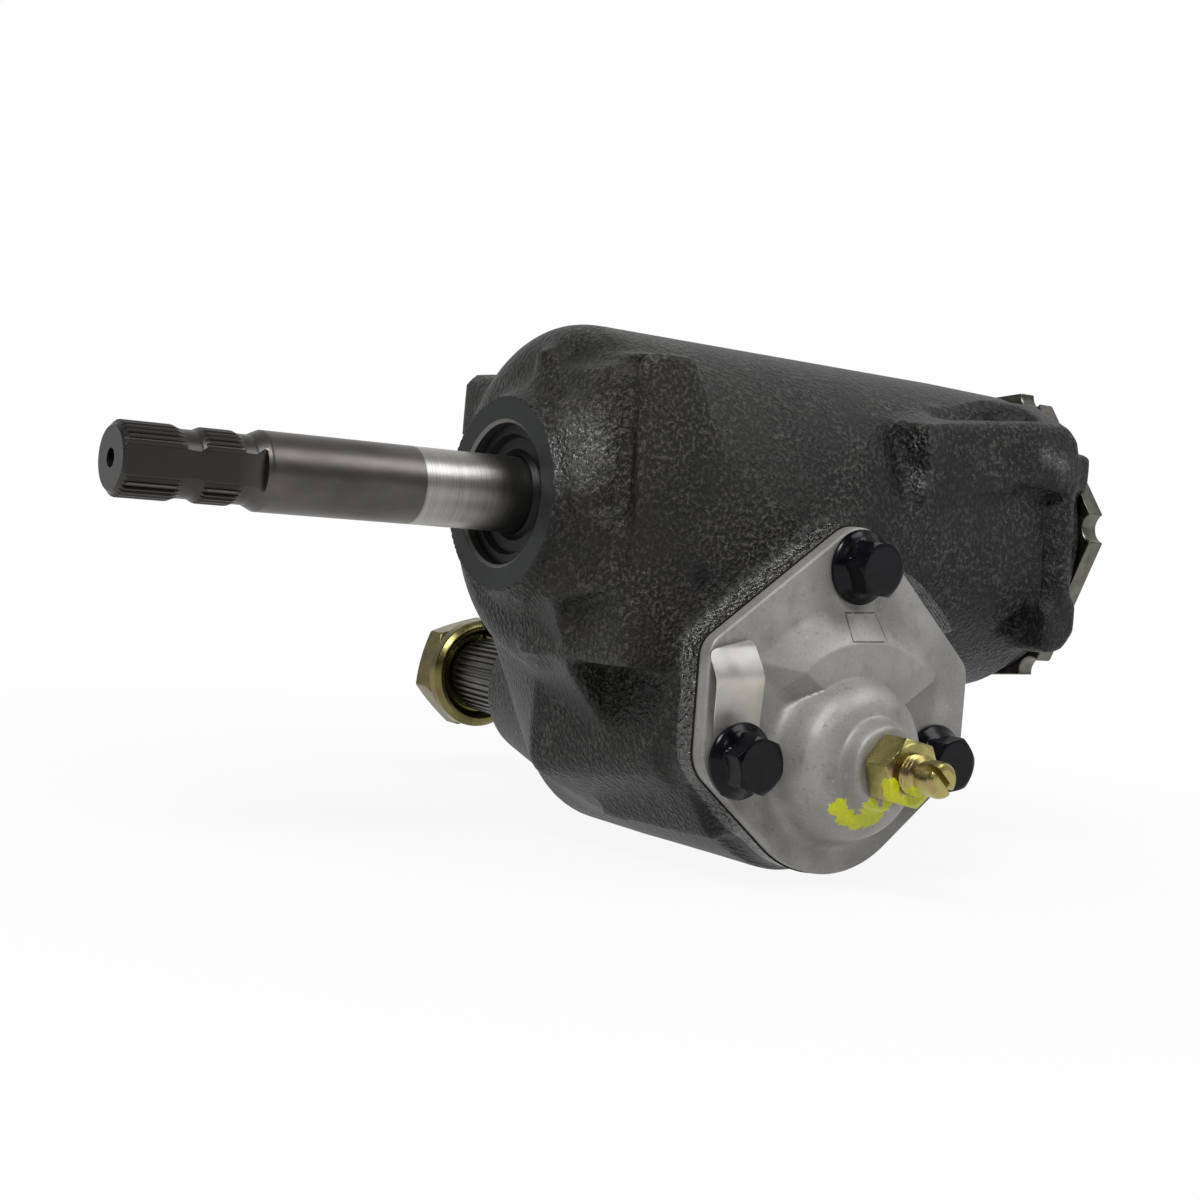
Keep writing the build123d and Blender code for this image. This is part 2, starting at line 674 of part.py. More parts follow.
with BuildPart() as ball_nut:
    with BuildSketch(worm_plane(sector_x - nut_length / 2)):
        with Locations((0, (nut_top + rack_root_z) / 2)):
            RectangleRounded(nut_width, nut_top - rack_root_z, 3)
    extrude(amount=nut_length)
    with BuildSketch(rack_plane):
        for centre in (-1.5 * tooth_pitch, -tooth_pitch / 2, tooth_pitch / 2, 1.5 * tooth_pitch):
            with BuildLine():
                Polyline(
                    (centre - rack_half_width(rack_root_z + 1), rack_root_z + 1),
                    (centre + rack_half_width(rack_root_z + 1), rack_root_z + 1),
                    (centre + rack_half_width(rack_tip_z), rack_tip_z),
                    (centre - rack_half_width(rack_tip_z), rack_tip_z),
                    close=True,
                )
            make_face()
    extrude(amount=-gear_width)
    with BuildSketch(worm_plane(sector_x - nut_length / 2)):
        Circle(nut_bore_r)
    extrude(amount=nut_length, mode=Mode.SUBTRACT)
    # Bearing holes of the return guides.
    for middle in (-12.5, 12.5):
        for side in (-1, 1):
            with BuildSketch(Plane.XY.offset(worm_z)):
                with Locations((sector_x + middle + side * 7.5, worm_y + side * ball_circle_r)):
                    Circle(guide_r + 0.15)
            extrude(amount=nut_top + 1, mode=Mode.SUBTRACT)

# Return guides: each tube leaves one end of its ball circuit and crosses to the other.
guide_rise = worm_z + nut_top + guide_r + 0.6
guide_foot = worm_z + 11.3

with BuildPart() as ball_return_guides:
    for middle in (-12.5, 12.5):
        low = (sector_x + middle - 7.5, worm_y - ball_circle_r)
        high = (sector_x + middle + 7.5, worm_y + ball_circle_r)
        rise = [(*low, guide_foot), (*low, guide_rise)]
        descent = [(*high, guide_rise), (*high, guide_foot)]
        with BuildLine() as guide_path:
            FilletPolyline(*rise, *descent, radius=6)
        with BuildSketch(Plane(origin=(*low, guide_foot), z_dir=(0, 0, 1))):
            RegularPolygon(guide_r, 10)
        sweep(path=guide_path.line)

# Strap over the two guides with its two screws.
strap_half = 30.0
strap_width = 9.0
strap_thickness = 1.2
strap_foot = worm_z + nut_top
strap_top = guide_rise + guide_r + strap_thickness

with BuildPart() as guide_clamp:
    strap_side = (sector_x, worm_y - strap_width / 2, 0)
    with BuildSketch(Plane(origin=strap_side, x_dir=(1, 0, 0), z_dir=(0, -1, 0))):
        with BuildLine():
            Polyline(
                (-strap_half, strap_foot),
                (-strap_half, strap_foot + strap_thickness),
                (-strap_half + 6.5, strap_foot + strap_thickness),
                (-strap_half + 9, strap_top),
                (strap_half - 9, strap_top),
                (strap_half - 6.5, strap_foot + strap_thickness),
                (strap_half, strap_foot + strap_thickness),
                (strap_half, strap_foot),
                (strap_half - 7.6, strap_foot),
                (strap_half - 10.2, strap_top - strap_thickness),
                (-strap_half + 10.2, strap_top - strap_thickness),
                (-strap_half + 7.6, strap_foot),
                close=True,
            )
        make_face()
    extrude(amount=-strap_width)

with BuildPart() as guide_clamp_screws:
    for side in (-1, 1):
        with BuildSketch(Plane.XY.offset(strap_foot + strap_thickness)):
            with Locations((sector_x + side * (strap_half - 3.3), worm_y)):
                Circle(3.0)
        extrude(amount=2.6)

# Worm bearings: cups in the housing and in the adjuster, and a row of caged balls in each.
with BuildPart() as input_bearing_cup:
    cup_points = [(10.6, 21.4), (10.6, 13.2), (12.2, 13.2), (12.2, 17.4)]
    cup_points += [(15.4, 19.2), (19.4, 19.6), (19.4, 21.4)]
    revolve(half_section(worm_section, from_boss(cup_points)), axis=case_axis)

with BuildPart() as input_ball_row:
    row_points = [(13.2, 14.2), (17.6, 13.4), (18.2, 18.3), (14.6, 17.0)]
    revolve(half_section(worm_section, from_boss(row_points)), axis=case_axis)

with BuildPart() as end_ball_row:
    mirror_x = worm_start + worm_end
    row_points = [(mirror_x - x, r) for x, r in row_points]
    revolve(half_section(worm_section, from_boss(row_points)), axis=case_axis)

with BuildPart() as end_bearing_cup:
    cup_points = [(mirror_x - x, r) for x, r in cup_points]
    revolve(half_section(worm_section, from_boss(cup_points)), axis=case_axis)

# Adjuster plug in the closed end, and its notched lock nut.
lock_nut_flats = 89.5
lock_nut_thickness = 6.0
lock_nut_turn = -7.0
plug_out = 9.5

with BuildPart() as bearing_adjuster:
    plug_face = case_length + plug_out
    plug_points = [(134.4, 21.6), (134.4, 30), (149.0, 30), (149.0, thread_r - 1)]
    plug_points += [(150.5, thread_r - 0.1), (plug_face - 1.5, thread_r - 0.1), (plug_face, thread_r - 1.6)]
    plug_points += [(plug_face, 20), (case_length - 3, 18), (case_length - 3, 0), (159.5, 0)]
    plug_points += [(159.5, 12.5), (144.4, 12.5), (144.4, 21.6)]
    revolve(half_section(worm_section, from_boss(plug_points)), axis=case_axis)
    with BuildSketch(worm_plane(input_face_x + plug_face)):
        with PolarLocations(28, 2):
            Circle(4)
    extrude(amount=-10, mode=Mode.SUBTRACT)

with BuildPart() as bearing_adjuster_nut:
    with BuildSketch(worm_plane(closed_face_x)):
        RegularPolygon(hexagon_r(lock_nut_flats), 6, rotation=lock_nut_turn)
        with PolarLocations(hexagon_r(lock_nut_flats) - 0.6, 6, start_angle=lock_nut_turn):
            Circle(4.6, mode=Mode.SUBTRACT)
        Circle(thread_r, mode=Mode.SUBTRACT)
    extrude(amount=lock_nut_thickness)

# Input seal with its lip turned towards the shaft.
with BuildPart() as input_seal:
    seal_points = [(3.2, seal_bore_r), (3.2, 16.6), (5.0, 15.6), (5.0, 12.6), (3.6, 11.4)]
    seal_points += [(4.4, shaft_r + 0.1), (6.4, shaft_r + 0.1), (7.6, 12.0), (9.9, 12.6), (9.9, seal_bore_r)]
    revolve(half_section(worm_section, from_boss(seal_points)), axis=case_axis)

pieces = {
    "housing": housing.part,
    "side_cover": side_cover.part,
    "cover_gasket": cover_gasket.part,
    "id_tag": id_tag.part,
    "cover_bolts": cover_bolts.part,
    "lash_adjuster_screw": lash_adjuster_screw.part,
    "lash_shim": lash_shim.part,
    "lash_adjuster_nut": lash_adjuster_nut.part,
    "sector_shaft": sector_shaft.part,
    "sector_bushings": sector_bushings.part,
    "cover_bushing": cover_bushing.part,
    "sector_seal": sector_seal.part,
    "pitman_nut": pitman_nut.part,
    "pitman_lock_washer": pitman_lock_washer.part,
    "worm_shaft": worm_with_groove,
    "ball_nut": ball_nut.part,
    "ball_return_guides": ball_return_guides.part,
    "guide_clamp": guide_clamp.part,
    "guide_clamp_screws": guide_clamp_screws.part,
    "input_bearing_cup": input_bearing_cup.part,
    "input_ball_row": input_ball_row.part,
    "end_bearing_cup": end_bearing_cup.part,
    "end_ball_row": end_ball_row.part,
    "bearing_adjuster": bearing_adjuster.part,
    "bearing_adjuster_nut": bearing_adjuster_nut.part,
    "input_seal": input_seal.part,
}
for name, piece in pieces.items():
    piece.label = name
    export_step(piece, f"parts/{name}.step")
    print(name, round(piece.volume / 1000, 2), "cm3", len(piece.solids()), "solids")
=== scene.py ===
# %% [markdown]
# # A steering gearbox, dressed for its portrait
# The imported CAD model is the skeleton: a cast housing, a die-cast side cover, a splined input
# shaft and the zinc-plated nuts. This lesson gives each piece the surface that the real one
# has. Everything is in metres and in the CAD's own frame.

import json
from math import cos, pi, radians, sin

import bmesh
import bpy
import numpy as np
from mathutils import Matrix, Vector


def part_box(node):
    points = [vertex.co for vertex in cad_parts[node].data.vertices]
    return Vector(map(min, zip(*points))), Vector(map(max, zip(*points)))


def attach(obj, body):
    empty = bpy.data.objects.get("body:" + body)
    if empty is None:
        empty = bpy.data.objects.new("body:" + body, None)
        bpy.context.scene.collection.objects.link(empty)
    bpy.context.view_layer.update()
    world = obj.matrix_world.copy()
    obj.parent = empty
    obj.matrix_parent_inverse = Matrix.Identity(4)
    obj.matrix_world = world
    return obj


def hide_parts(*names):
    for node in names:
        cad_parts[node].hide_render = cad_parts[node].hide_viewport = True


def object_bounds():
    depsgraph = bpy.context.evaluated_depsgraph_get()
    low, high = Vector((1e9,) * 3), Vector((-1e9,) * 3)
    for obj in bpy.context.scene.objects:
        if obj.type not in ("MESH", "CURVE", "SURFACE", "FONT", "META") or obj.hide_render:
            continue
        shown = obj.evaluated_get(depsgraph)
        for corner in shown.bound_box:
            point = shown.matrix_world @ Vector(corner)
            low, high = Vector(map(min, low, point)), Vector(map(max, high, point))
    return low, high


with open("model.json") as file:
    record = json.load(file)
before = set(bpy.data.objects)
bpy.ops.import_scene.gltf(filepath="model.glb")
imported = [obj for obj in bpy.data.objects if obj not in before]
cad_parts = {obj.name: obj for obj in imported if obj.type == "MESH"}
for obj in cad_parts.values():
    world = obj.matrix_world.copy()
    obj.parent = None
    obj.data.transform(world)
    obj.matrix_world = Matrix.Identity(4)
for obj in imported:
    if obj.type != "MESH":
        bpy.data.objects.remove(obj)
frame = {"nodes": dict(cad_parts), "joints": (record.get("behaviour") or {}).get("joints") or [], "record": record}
cad_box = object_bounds()
joints = {joint["name"]: joint for joint in frame["joints"]}

# %% [markdown]
# ## Two axes rule this gearbox
# The worm turns about an axis along X and the sector shaft about one along Y. Nearly every
# piece is round about one of the two, so a helper turns (distance along, radius, angle) into
# points in space. Both axes are read from the joints of the frame.

# %% Axes
MM = 0.001
worm_centre = np.array(joints["steering_input"]["pos_m"])
sector_centre = np.array(joints["sector_turn"]["pos_m"])


def about_worm(along, radius, angle):
    """Points at x = along, and radius (cos, sin) of the angle across, in Y and Z."""
    along, radius, angle = np.broadcast_arrays(along, radius, angle)
    y = worm_centre[1] + radius * np.cos(angle)
    z = worm_centre[2] + radius * np.sin(angle)
    return np.stack([along, y, z], axis=-1)


def about_sector(along, radius, angle):
    """Points at y = along, and radius (cos, sin) of the angle across, in X and Z."""
    along, radius, angle = np.broadcast_arrays(along, radius, angle)
    x = sector_centre[0] + radius * np.cos(angle)
    z = sector_centre[2] + radius * np.sin(angle)
    return np.stack([x, along, z], axis=-1)


print("worm axis at", worm_centre, "sector axis at", sector_centre)

# %% [markdown]
# ## From a grid of points to a mesh
# A surface is a grid: rows along the piece, columns around it. The helper joins neighbours
# with quads, welds the points that fall together at a pole and turns the faces outwards.
# Edges sharper than a limit stay crisp and the rest is shaded smooth.


# %% Surface helpers
def into_scene(name, data):
    """A new object that holds the data, linked into the scene."""
    made = bpy.data.objects.new(name, data)
    bpy.context.scene.collection.objects.link(made)
    return made


def mesh_piece(name, points, faces, crease=32):
    """A mesh object from points and faces, welded, closed outwards and shaded by angle."""
    mesh = bpy.data.meshes.new(name)
    mesh.from_pydata(points, [], faces)
    shell = bmesh.new()
    shell.from_mesh(mesh)
    bmesh.ops.remove_doubles(shell, verts=shell.verts, dist=2e-6)
    bmesh.ops.recalc_face_normals(shell, faces=shell.faces)
    shell.to_mesh(mesh)
    shell.free()
    mesh.shade_smooth()
    mesh.set_sharp_from_angle(angle=radians(crease))
    return into_scene(name, mesh)


def grid_piece(name, points, crease=32):
    """A surface from a (rows, columns, 3) grid whose last column joins the first."""
    rows, columns = points.shape[:2]
    corner = np.arange(rows * columns).reshape(rows, columns)
    beside = np.roll(corner, -1, axis=1)
    faces = np.stack([corner[:-1], beside[:-1], beside[1:], corner[1:]], axis=-1)
    return mesh_piece(name, points.reshape(-1, 3), faces.reshape(-1, 4), crease)


def stations(outline, spacing):
    """Splits each run of an outline in mm into equal short steps and keeps its corners."""
    outline = np.array(outline, float) * MM
    counts = np.ceil(np.linalg.norm(np.diff(outline, axis=0), axis=1) / (spacing * MM))
    share = [np.arange(max(count, 1)) / max(count, 1) for count in counts]
    runs = [a + np.outer(t, b - a) for a, b, t in zip(outline[:-1], outline[1:], share)]
    return np.vstack(runs + [outline[-1:]])


def around(count):
    """Angles of a closed round of columns, as one row of the grid."""
    return np.linspace(0, 2 * pi, count, endpoint=False)[None, :]


def polygon_radius(angle, flats, sides=6, turn=0.0, sharpness=70):
    """Radius of a rounded polygon: the flats' cosines joined by a high power mean."""
    normals = turn + np.arange(sides) * 2 * pi / sides
    share = np.maximum(np.cos(angle[..., None] - normals), 0.0) ** sharpness
    return flats / 2 * share.sum(axis=-1) ** (-1 / sharpness)


# %% [markdown]
# ## Merged copies of CAD solids
# A CAD node arrives as loose triangles. Where its shape is right but its edges need care, a
# copy is welded first and then takes modifiers, while the node itself stays for collision.


# %% Merged copies
def coordinates(mesh):
    """The places of a mesh's points, one row each."""
    places = np.empty(len(mesh.vertices) * 3)
    mesh.vertices.foreach_get("co", places)
    return places.reshape(-1, 3)


def merged_copy(name, node, crease=32):
    """A welded copy of a CAD node's mesh as a piece that stands for the node."""
    source = frame["nodes"][node].data
    faces = [tuple(face.vertices) for face in source.polygons]
    piece = mesh_piece(name, coordinates(source), faces, crease)
    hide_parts(node)
    return piece


def baked(piece):
    """Applies the piece's modifiers, so that the mesh itself holds the result."""
    depsgraph = bpy.context.evaluated_depsgraph_get()
    mesh = bpy.data.meshes.new_from_object(piece.evaluated_get(depsgraph))
    piece.modifiers.clear()
    piece.data = mesh


# %% [markdown]
# ## Shader shorthand
# Every finish is a Principled surface with procedural colour, roughness and bump. These few
# functions keep each recipe short enough to read as a recipe.


# %% Shader helpers
def node(beside, kind, inputs=None, **settings):
    """Adds a shader node beside a socket, sets its options, and plugs or sets its inputs."""
    tree = beside.id_data
    made = tree.nodes.new("ShaderNode" + kind)
    for option, value in settings.items():
        setattr(made, option, value)
    for key, value in (inputs or {}).items():
        if isinstance(value, bpy.types.NodeSocket):
            tree.links.new(value, made.inputs[key])
        else:
            made.inputs[key].default_value = value
    return made


def noise(place, size_mm, detail=3.0, stretch=(1, 1, 1)):
    """Cloudy noise whose lumps are size_mm across; stretch makes them longer on an axis."""
    scale = [1 / length for length in stretch]
    mapped = node(place, "Mapping", {"Vector": place, "Scale": scale})
    settings = {"Vector": mapped.outputs[0], "Scale": 1 / (size_mm * MM), "Detail": detail}
    return node(place, "TexNoise", settings).outputs["Fac"]


def remap(value, low=0.3, high=0.7, to_low=0.0, to_high=1.0):
    """Stretches value from low..high to to_low..to_high and holds it inside."""
    source = {"Value": value, "From Min": low, "From Max": high}
    target = {"To Min": to_low, "To Max": to_high}
    return node(value, "MapRange", source | target).outputs["Result"]


def blend(factor, colour_a, colour_b):
    """Mixes two colours, each a socket or a tuple."""
    inputs = {"Factor": factor}
    for slot, colour in ((6, colour_a), (7, colour_b)):
        inputs[slot] = colour if isinstance(colour, bpy.types.NodeSocket) else (*colour, 1)
    return node(factor, "Mix", inputs, data_type="RGBA").outputs[2]


def maths(operation, a, b=0.0):
    """One step of arithmetic between two values."""
    return node(a, "Math", {0: a, 1: b}, operation=operation).outputs[0]


def measure(operation, a, b=(0, 0, 0)):
    """A length, distance or dot product of vectors as one value."""
    return node(a, "VectorMath", {0: a, 1: b}, operation=operation).outputs["Value"]


def bumped(height, depth_mm, strength=1.0, under=None):
    """A bump of that depth from a height value, on top of another bump if one is given."""
    settings = {"Height": height, "Distance": depth_mm * MM, "Strength": strength}
    if under is not None:
        settings["Normal"] = under
    return node(height, "Bump", settings).outputs["Normal"]


def finish(name, metallic, colour, roughness, normal=None, specular=0.5):
    """Ends a recipe: sets or plugs the Principled surface of a started material."""
    material = bpy.data.materials["finish_" + name]
    tree = material.node_tree
    surface = tree.nodes["Principled BSDF"]
    plugs = {"Base Color": colour, "Metallic": metallic, "Roughness": roughness}
    plugs |= {"Normal": normal, "Specular IOR Level": specular}
    for key, value in plugs.items():
        if isinstance(value, bpy.types.NodeSocket):
            tree.links.new(value, surface.inputs[key])
        elif value is not None:
            surface.inputs[key].default_value = value if key != "Base Color" else (*value, 1)
    return material


def start(name):
    """A new material's first socket: the Object coordinates of the piece."""
    material = bpy.data.materials.new("finish_" + name)
    material.use_nodes = True
    return node(material.node_tree, "TexCoord").outputs["Object"]


def away_from(place, centre):
    """Distance of a place from a point given in metres."""
    return measure("DISTANCE", place, tuple(centre))


def off_axis(parts, centre, across):
    """Distance of a place from an axis, by the two coordinates that lie across it."""
    offsets = {k: maths("SUBTRACT", parts[k], centre[k]) for k in across}
    return measure("LENGTH", node(parts[0], "CombineXYZ", offsets).outputs[0])


paint_dabs = [  # centres in mm, on the cover's hub, the lock nut and the screw
    (-28.4, -124.2, -98.5), (-25.1, -124.0, -101.3), (-21.4, -124.1, -102.4),
    (-18.2, -124.5, -101.8), (-19.8, -127.5, -99.6), (-22.0, -130.2, -97.5),
    (-17.6, -128.5, -98.4), (-14.9, -124.7, -100.8), (-16.7, -132.4, -95.9),
    (-24.6, -139.5, -92.4), (-25.3, -139.3, -90.6), (-19.6, -139.9, -95.0),
    (-20.0, -143.5, -92.0), (-16.6, -139.9, -95.3), (-14.0, -140.5, -95.0),
]
paint_roughness = 0.38


def painted(place, colour, roughness):
    """A smear of yellow paint over a recipe's colour and roughness, near the dabs."""
    nearest = None
    for dab in paint_dabs:
        spot = away_from(place, np.array(dab) * MM)
        nearest = spot if nearest is None else maths("MINIMUM", nearest, spot)
    ragged = maths("MULTIPLY", noise(place, 1.2, 4.0), -3.2 * MM)
    reach = maths("ADD", nearest, ragged)
    wet = remap(reach, 0.95 * MM, 1.15 * MM, 1.0, 0.0)
    thick = blend(noise(place, 1.1, 2.0), (0.52, 0.55, 0.006), (0.76, 0.80, 0.010))
    gloss = node(wet, "Mix", {0: wet, 2: roughness, 3: paint_roughness}).outputs[0]
    return blend(wet, colour, thick), gloss, wet


def dress(piece, material, body=None):
    """Gives a piece its material and the body it rides on."""
    piece.data.materials.clear()
    piece.data.materials.append(material)
    if body:
        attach(piece, body)


# %% [markdown]
# ## Bare cast iron
# Sand casting leaves a skin like orange peel: rounded grains a millimetre or two across, with
# finer grit between them. The grains catch the light one by one, so the skin sparkles although
# the iron is nearly black; the brightest glints are painted highlights, pale flecks on the grain
# tips. Oil and handling make slow brownish and bluish clouds.


# %% Cast iron
# Where the grain is coarse, the painted glints are strongest too.
coarse_spots = [  # centre and reach in mm, and the share of coarse grain there
    ((-91, -79, -11), 20, 1.0),
    ((17, -96, 2), 9, 0.7),
    ((17, -96, -9), 9, 0.7),
]
housing_low = np.array(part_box("housing")[0])
# A near-black spot a few millimetres across is painted on the near wall at this point.
near_black_spot = np.array([-61.4, -98.8, -40.8]) * MM
ring_pitch = 0.9 * MM


def cast_iron():
    """Dark cast skin: rounded grains, grit, painted glints on the crests, rings where a face was turned."""
    place = start("cast_iron")
    x, y, z = node(place, "SeparateXYZ", {0: place}).outputs
    clouds = remap(noise(place, 34, 3.0), 0.35, 0.65)
    patchy = remap(noise(place, 15, 2.0), 0.38, 0.62, 0.16, 0.48)
    coarse = maths("MAXIMUM", patchy, remap(y, -99.4 * MM, -100.6 * MM))
    for spot, size, most in coarse_spots:
        away = away_from(place, np.array(spot) * MM)
        near = remap(away, 0.3 * size * MM, size * MM, most, 0.0)
        coarse = maths("MAXIMUM", coarse, near)
    grains = noise(place, 1.3, 1.5)
    grit = noise(place, 0.4, 2.0)
    warm_tone = blend(clouds, (0.0115, 0.0102, 0.0082), (0.0212, 0.0195, 0.0165))
    cool_tone = blend(clouds, (0.0080, 0.0085, 0.0098), (0.0165, 0.0170, 0.0175))
    tone = blend(remap(x, -0.09, 0.09), warm_tone, cool_tone)
    tone = blend(remap(grit, 0.30, 0.70, 0.7, 0.0), tone, (0.004, 0.004, 0.005))
    tips = maths("MULTIPLY", remap(grains, 0.47, 0.66), coarse)
    # Painted highlight: pale, slightly metallic flecks on the coarse grain tips stand for glints.
    painted_glint_flecks = maths("MULTIPLY", tips, remap(grit, 0.36, 0.60))
    colour = blend(painted_glint_flecks, tone, (0.20, 0.19, 0.17))
    reach = off_axis((x, y, z), sector_centre, (0, 2))
    rings = maths("SINE", maths("MULTIPLY", reach, 2 * pi / ring_pitch))
    turned = remap(y, housing_low[1] + 0.15 * MM, housing_low[1] + 0.35 * MM, 1.0, 0.0)
    ring_share = remap(rings, -0.6, 0.8)
    ring_tone = blend(ring_share, (0.010, 0.010, 0.011), (0.055, 0.055, 0.057))
    colour = blend(turned, colour, ring_tone)
    near_black_share = remap(away_from(place, near_black_spot), 1.6 * MM, 4.2 * MM, 0.9, 0.0)
    colour = blend(near_black_share, colour, (0.002, 0.002, 0.003))
    rough = remap(coarse, 0.5, 1.0, 0.44, 0.27)
    gloss = remap(coarse, 0.5, 1.0, 0.22, 0.98)
    height = maths("MULTIPLY", grains, remap(coarse, 0.0, 1.0, 0.3, 1.0))
    skin = bumped(grit, 0.22, 0.8, bumped(height, 1.7, 1.0))
    skin = bumped(maths("MULTIPLY", rings, turned), 0.12, 0.8, skin)
    return finish("cast_iron", maths("MULTIPLY", painted_glint_flecks, 0.6), colour, rough, skin, gloss)


iron = cast_iron()
print("made", iron.name)

# %% [markdown]
# ## The cover's outline
# The side cover is bounded by a band pulled tight round six circles, so its radius in any
# direction is the smallest reach of the band's tangent lines. The housing needs it first, for
# the hollow corner round the cover's pad.

# %% Cover outline
circles = [(0, 0, 32.6), (0.8, 52, 10.8), (-41, 26, 7)]  # x, z and radius in mm
circles += [(39.5, 22.5, 7), (-36.5, 1.5, 11), (36, 1.5, 11)]


def cover_reach(angle):
    """Radius of the cover: the least of support(phi) / cos(angle - phi) over all phi."""
    phi = np.linspace(-pi, pi, 1441)
    x, z, radius = np.split(np.array(circles), 3, axis=1)
    support = (x * np.cos(phi) + z * np.sin(phi) + radius).max(axis=0)
    facing = np.cos(angle[..., None] - phi)
    reach = np.where(facing > 0.2, support / np.maximum(facing, 0.2), np.inf)
    return reach.min(axis=-1) * MM


print("cover reaches", cover_reach(np.array([0, pi / 2])) / MM, "mm to the right and up")

# %% [markdown]
# ## The housing
# The CAD housing is a union of clean solids. A sand casting has no sharp inner corners: the
# pattern maker runs a wide fillet along every one, and rounds the outer edges only a little.
# So the union is remeshed into small equal cells, which then relax towards their neighbours.
# A few rounds act everywhere. Later ones act only where the pattern was blended by hand, and in
# the hollow corner round the cover's pad, where points may only move outwards and so fill it.
# Machined faces are held still. At the end some small hollows and crests are pressed in one by one:
# the valley beside the near lug, the recess line and the lobe at the far end.

# %% Housing casting
cast_cell = 1.05 * MM
boss_face_r, seal_bore_r, seal_depth = 28.6 * MM, 19.4 * MM, 22 * MM
pitman_boss_r, held_depth = 38 * MM, 1.6 * MM
ramp_mm = 13
mouth_mm, ring_back_mm, ring_depth_mm = 26.7, 20.6, 9.5
most_faces = 90000


def machined_mask(points):
    """0 on the machined faces and bores, growing to 1 on the raw casting."""
    x, y, z = points.T
    from_worm = np.hypot(y - worm_centre[1], z - worm_centre[2])
    from_sector = np.hypot(x - sector_centre[0], z - sector_centre[2])
    cover_face = y - housing_low[1]
    boss_face = np.where(from_worm < boss_face_r, x - housing_low[0], 1.0)
    in_seal = x < housing_low[0] + seal_depth
    seal_bore = np.where(in_seal, np.abs(from_worm - seal_bore_r), 1.0)
    frame_face = np.where(from_sector > pitman_boss_r, -y, 1.0)
    nearest = np.minimum.reduce([cover_face, boss_face, seal_bore, np.abs(frame_face)])
    return np.clip(np.abs(nearest) / held_depth - 0.3, 0.0, 1.0)


def worn_mask(points):
    """1 where the pattern was blended by hand: the near lug's edge and the upper left corner."""
    x, y, z = points.T
    along = (x - housing_low[0]) / MM
    above = (z - worm_centre[2]) / MM
    edge = 27 + np.clip(42 - above, 0, 60) * 0.45
    near = np.exp(-(((along - edge) / 7) ** 2)) * (y < worm_centre[1] - 38 * MM)
    lug = near * np.clip((above + 6) / 10, 0, 1) * np.clip((44 - above) / 6, 0, 1)
    corner = np.exp(-(((along - 7) / 6) ** 2)) * np.clip((above - 18) / 4, 0, 1)
    return np.maximum(lug, corner)


def ramp_mask(points):
    """1 in the hollow corner between the cover's pad and the wall behind it."""
    x, y, z = points.T
    across, up = x - sector_centre[0], z - sector_centre[2]
    table = np.linspace(-pi, pi, 721)
    edge = np.interp(np.arctan2(up, across), table, cover_reach(table))
    outside = (np.hypot(across, up) - edge) / MM
    deep = (y - housing_low[1]) / MM
    beside = np.clip((ramp_mm - outside) / 5, 0, 1) * (outside > -1)
    return beside * np.clip(deep / 2, 0, 1) * np.clip((ramp_mm - deep) / 4, 0, 1)


def move_points(mesh, places):
    """Gives the points of a mesh new places."""
    mesh.vertices.foreach_set("co", places.ravel())
    mesh.update()


def soften(piece, rounds, rounds_everywhere):
    """Relaxes the raw cast surface: each point moves towards the mean of its neighbours."""
    mesh = piece.data
    points = coordinates(mesh)
    count = len(points)
    normals = np.empty(count * 3)
    ends = np.empty(len(mesh.edges) * 2, np.int64)
    mesh.edges.foreach_get("vertices", ends)
    a, b = ends.reshape(-1, 2).T
    neighbours = np.bincount(np.concatenate([a, b]), minlength=count)[:, None]
    free = machined_mask(points)[:, None]
    worn, ramp = worn_mask(points)[:, None], ramp_mask(points)[:, None]
    for number in range(rounds):
        later = number >= rounds_everywhere
        sums = [
            np.bincount(a, points[b, k], count) + np.bincount(b, points[a, k], count)
            for k in range(3)
        ]
        step = np.stack(sums, axis=1) / neighbours - points
        mesh.vertices.foreach_get("normal", normals)
        outward = (step * normals.reshape(-1, 3)).sum(axis=1, keepdims=True) > 0
        outward_share = np.maximum(worn, ramp) if later else 1.0
        inward_share = worn if later else 1.0
        points = points + 0.5 * free * np.where(outward, outward_share, inward_share) * step
        move_points(mesh, points)


touches = [  # a run from one place to another, its reach, and how far the skin moves there, in mm
    ((-86.5, -90.5, 18), (-86.0, -91.0, -24), 4.4, (6.0, 0.0, 0)),
    ((-91.5, -79.0, 0), (-91.0, -80.0, -20), 6.5, (-1.9, -0.8, 0)),
    ((-86.5, -62.0, 16), (-86.5, -88.0, 16), 4.5, (3.0, 0.0, -2.4)),
    ((-86.5, -70.0, -44), (-86.5, -79.0, -42), 6.5, (3.0, 0.6, 0)),
    ((72.6, -98.6, -11), (73.2, -98.6, -41), 2.3, (0, 3.6, 0)),
    ((56.0, -98.6, -9.4), (73.0, -98.6, -10.4), 2.0, (0, 2.8, 0)),
    ((11.0, -93.0, 5), (12.0, -94.0, -13), 4.0, (0.6, 3.2, 0)),
    ((17.6, -97.0, 5), (18.4, -97.0, -14), 2.8, (-1.4, -1.9, 0)),
    ((33.0, -87.0, 13), (52.0, -87.0, 12.5), 4.5, (0, 1.0, -3.0)),
    ((63.0, -98.5, 2), (71.0, -98.5, 0), 6.8, (0, -2.2, 0)),
]


def touch_up(piece):
    """Moves the skin along each run of the list by a bell curve of the distance from the run."""
    points = coordinates(piece.data)
    shift = np.zeros_like(points)
    for first, last, reach, move in touches:
        first, run = np.array(first) * MM, (np.array(last) - np.array(first)) * MM
        share = np.clip((points - first) @ run / (run @ run), 0, 1)
        away = np.linalg.norm(points - first - share[:, None] * run, axis=1)
        shift += np.exp(-((away / (reach * MM)) ** 2))[:, None] * np.array(move) * MM
    move_points(piece.data, points + shift * machined_mask(points)[:, None])


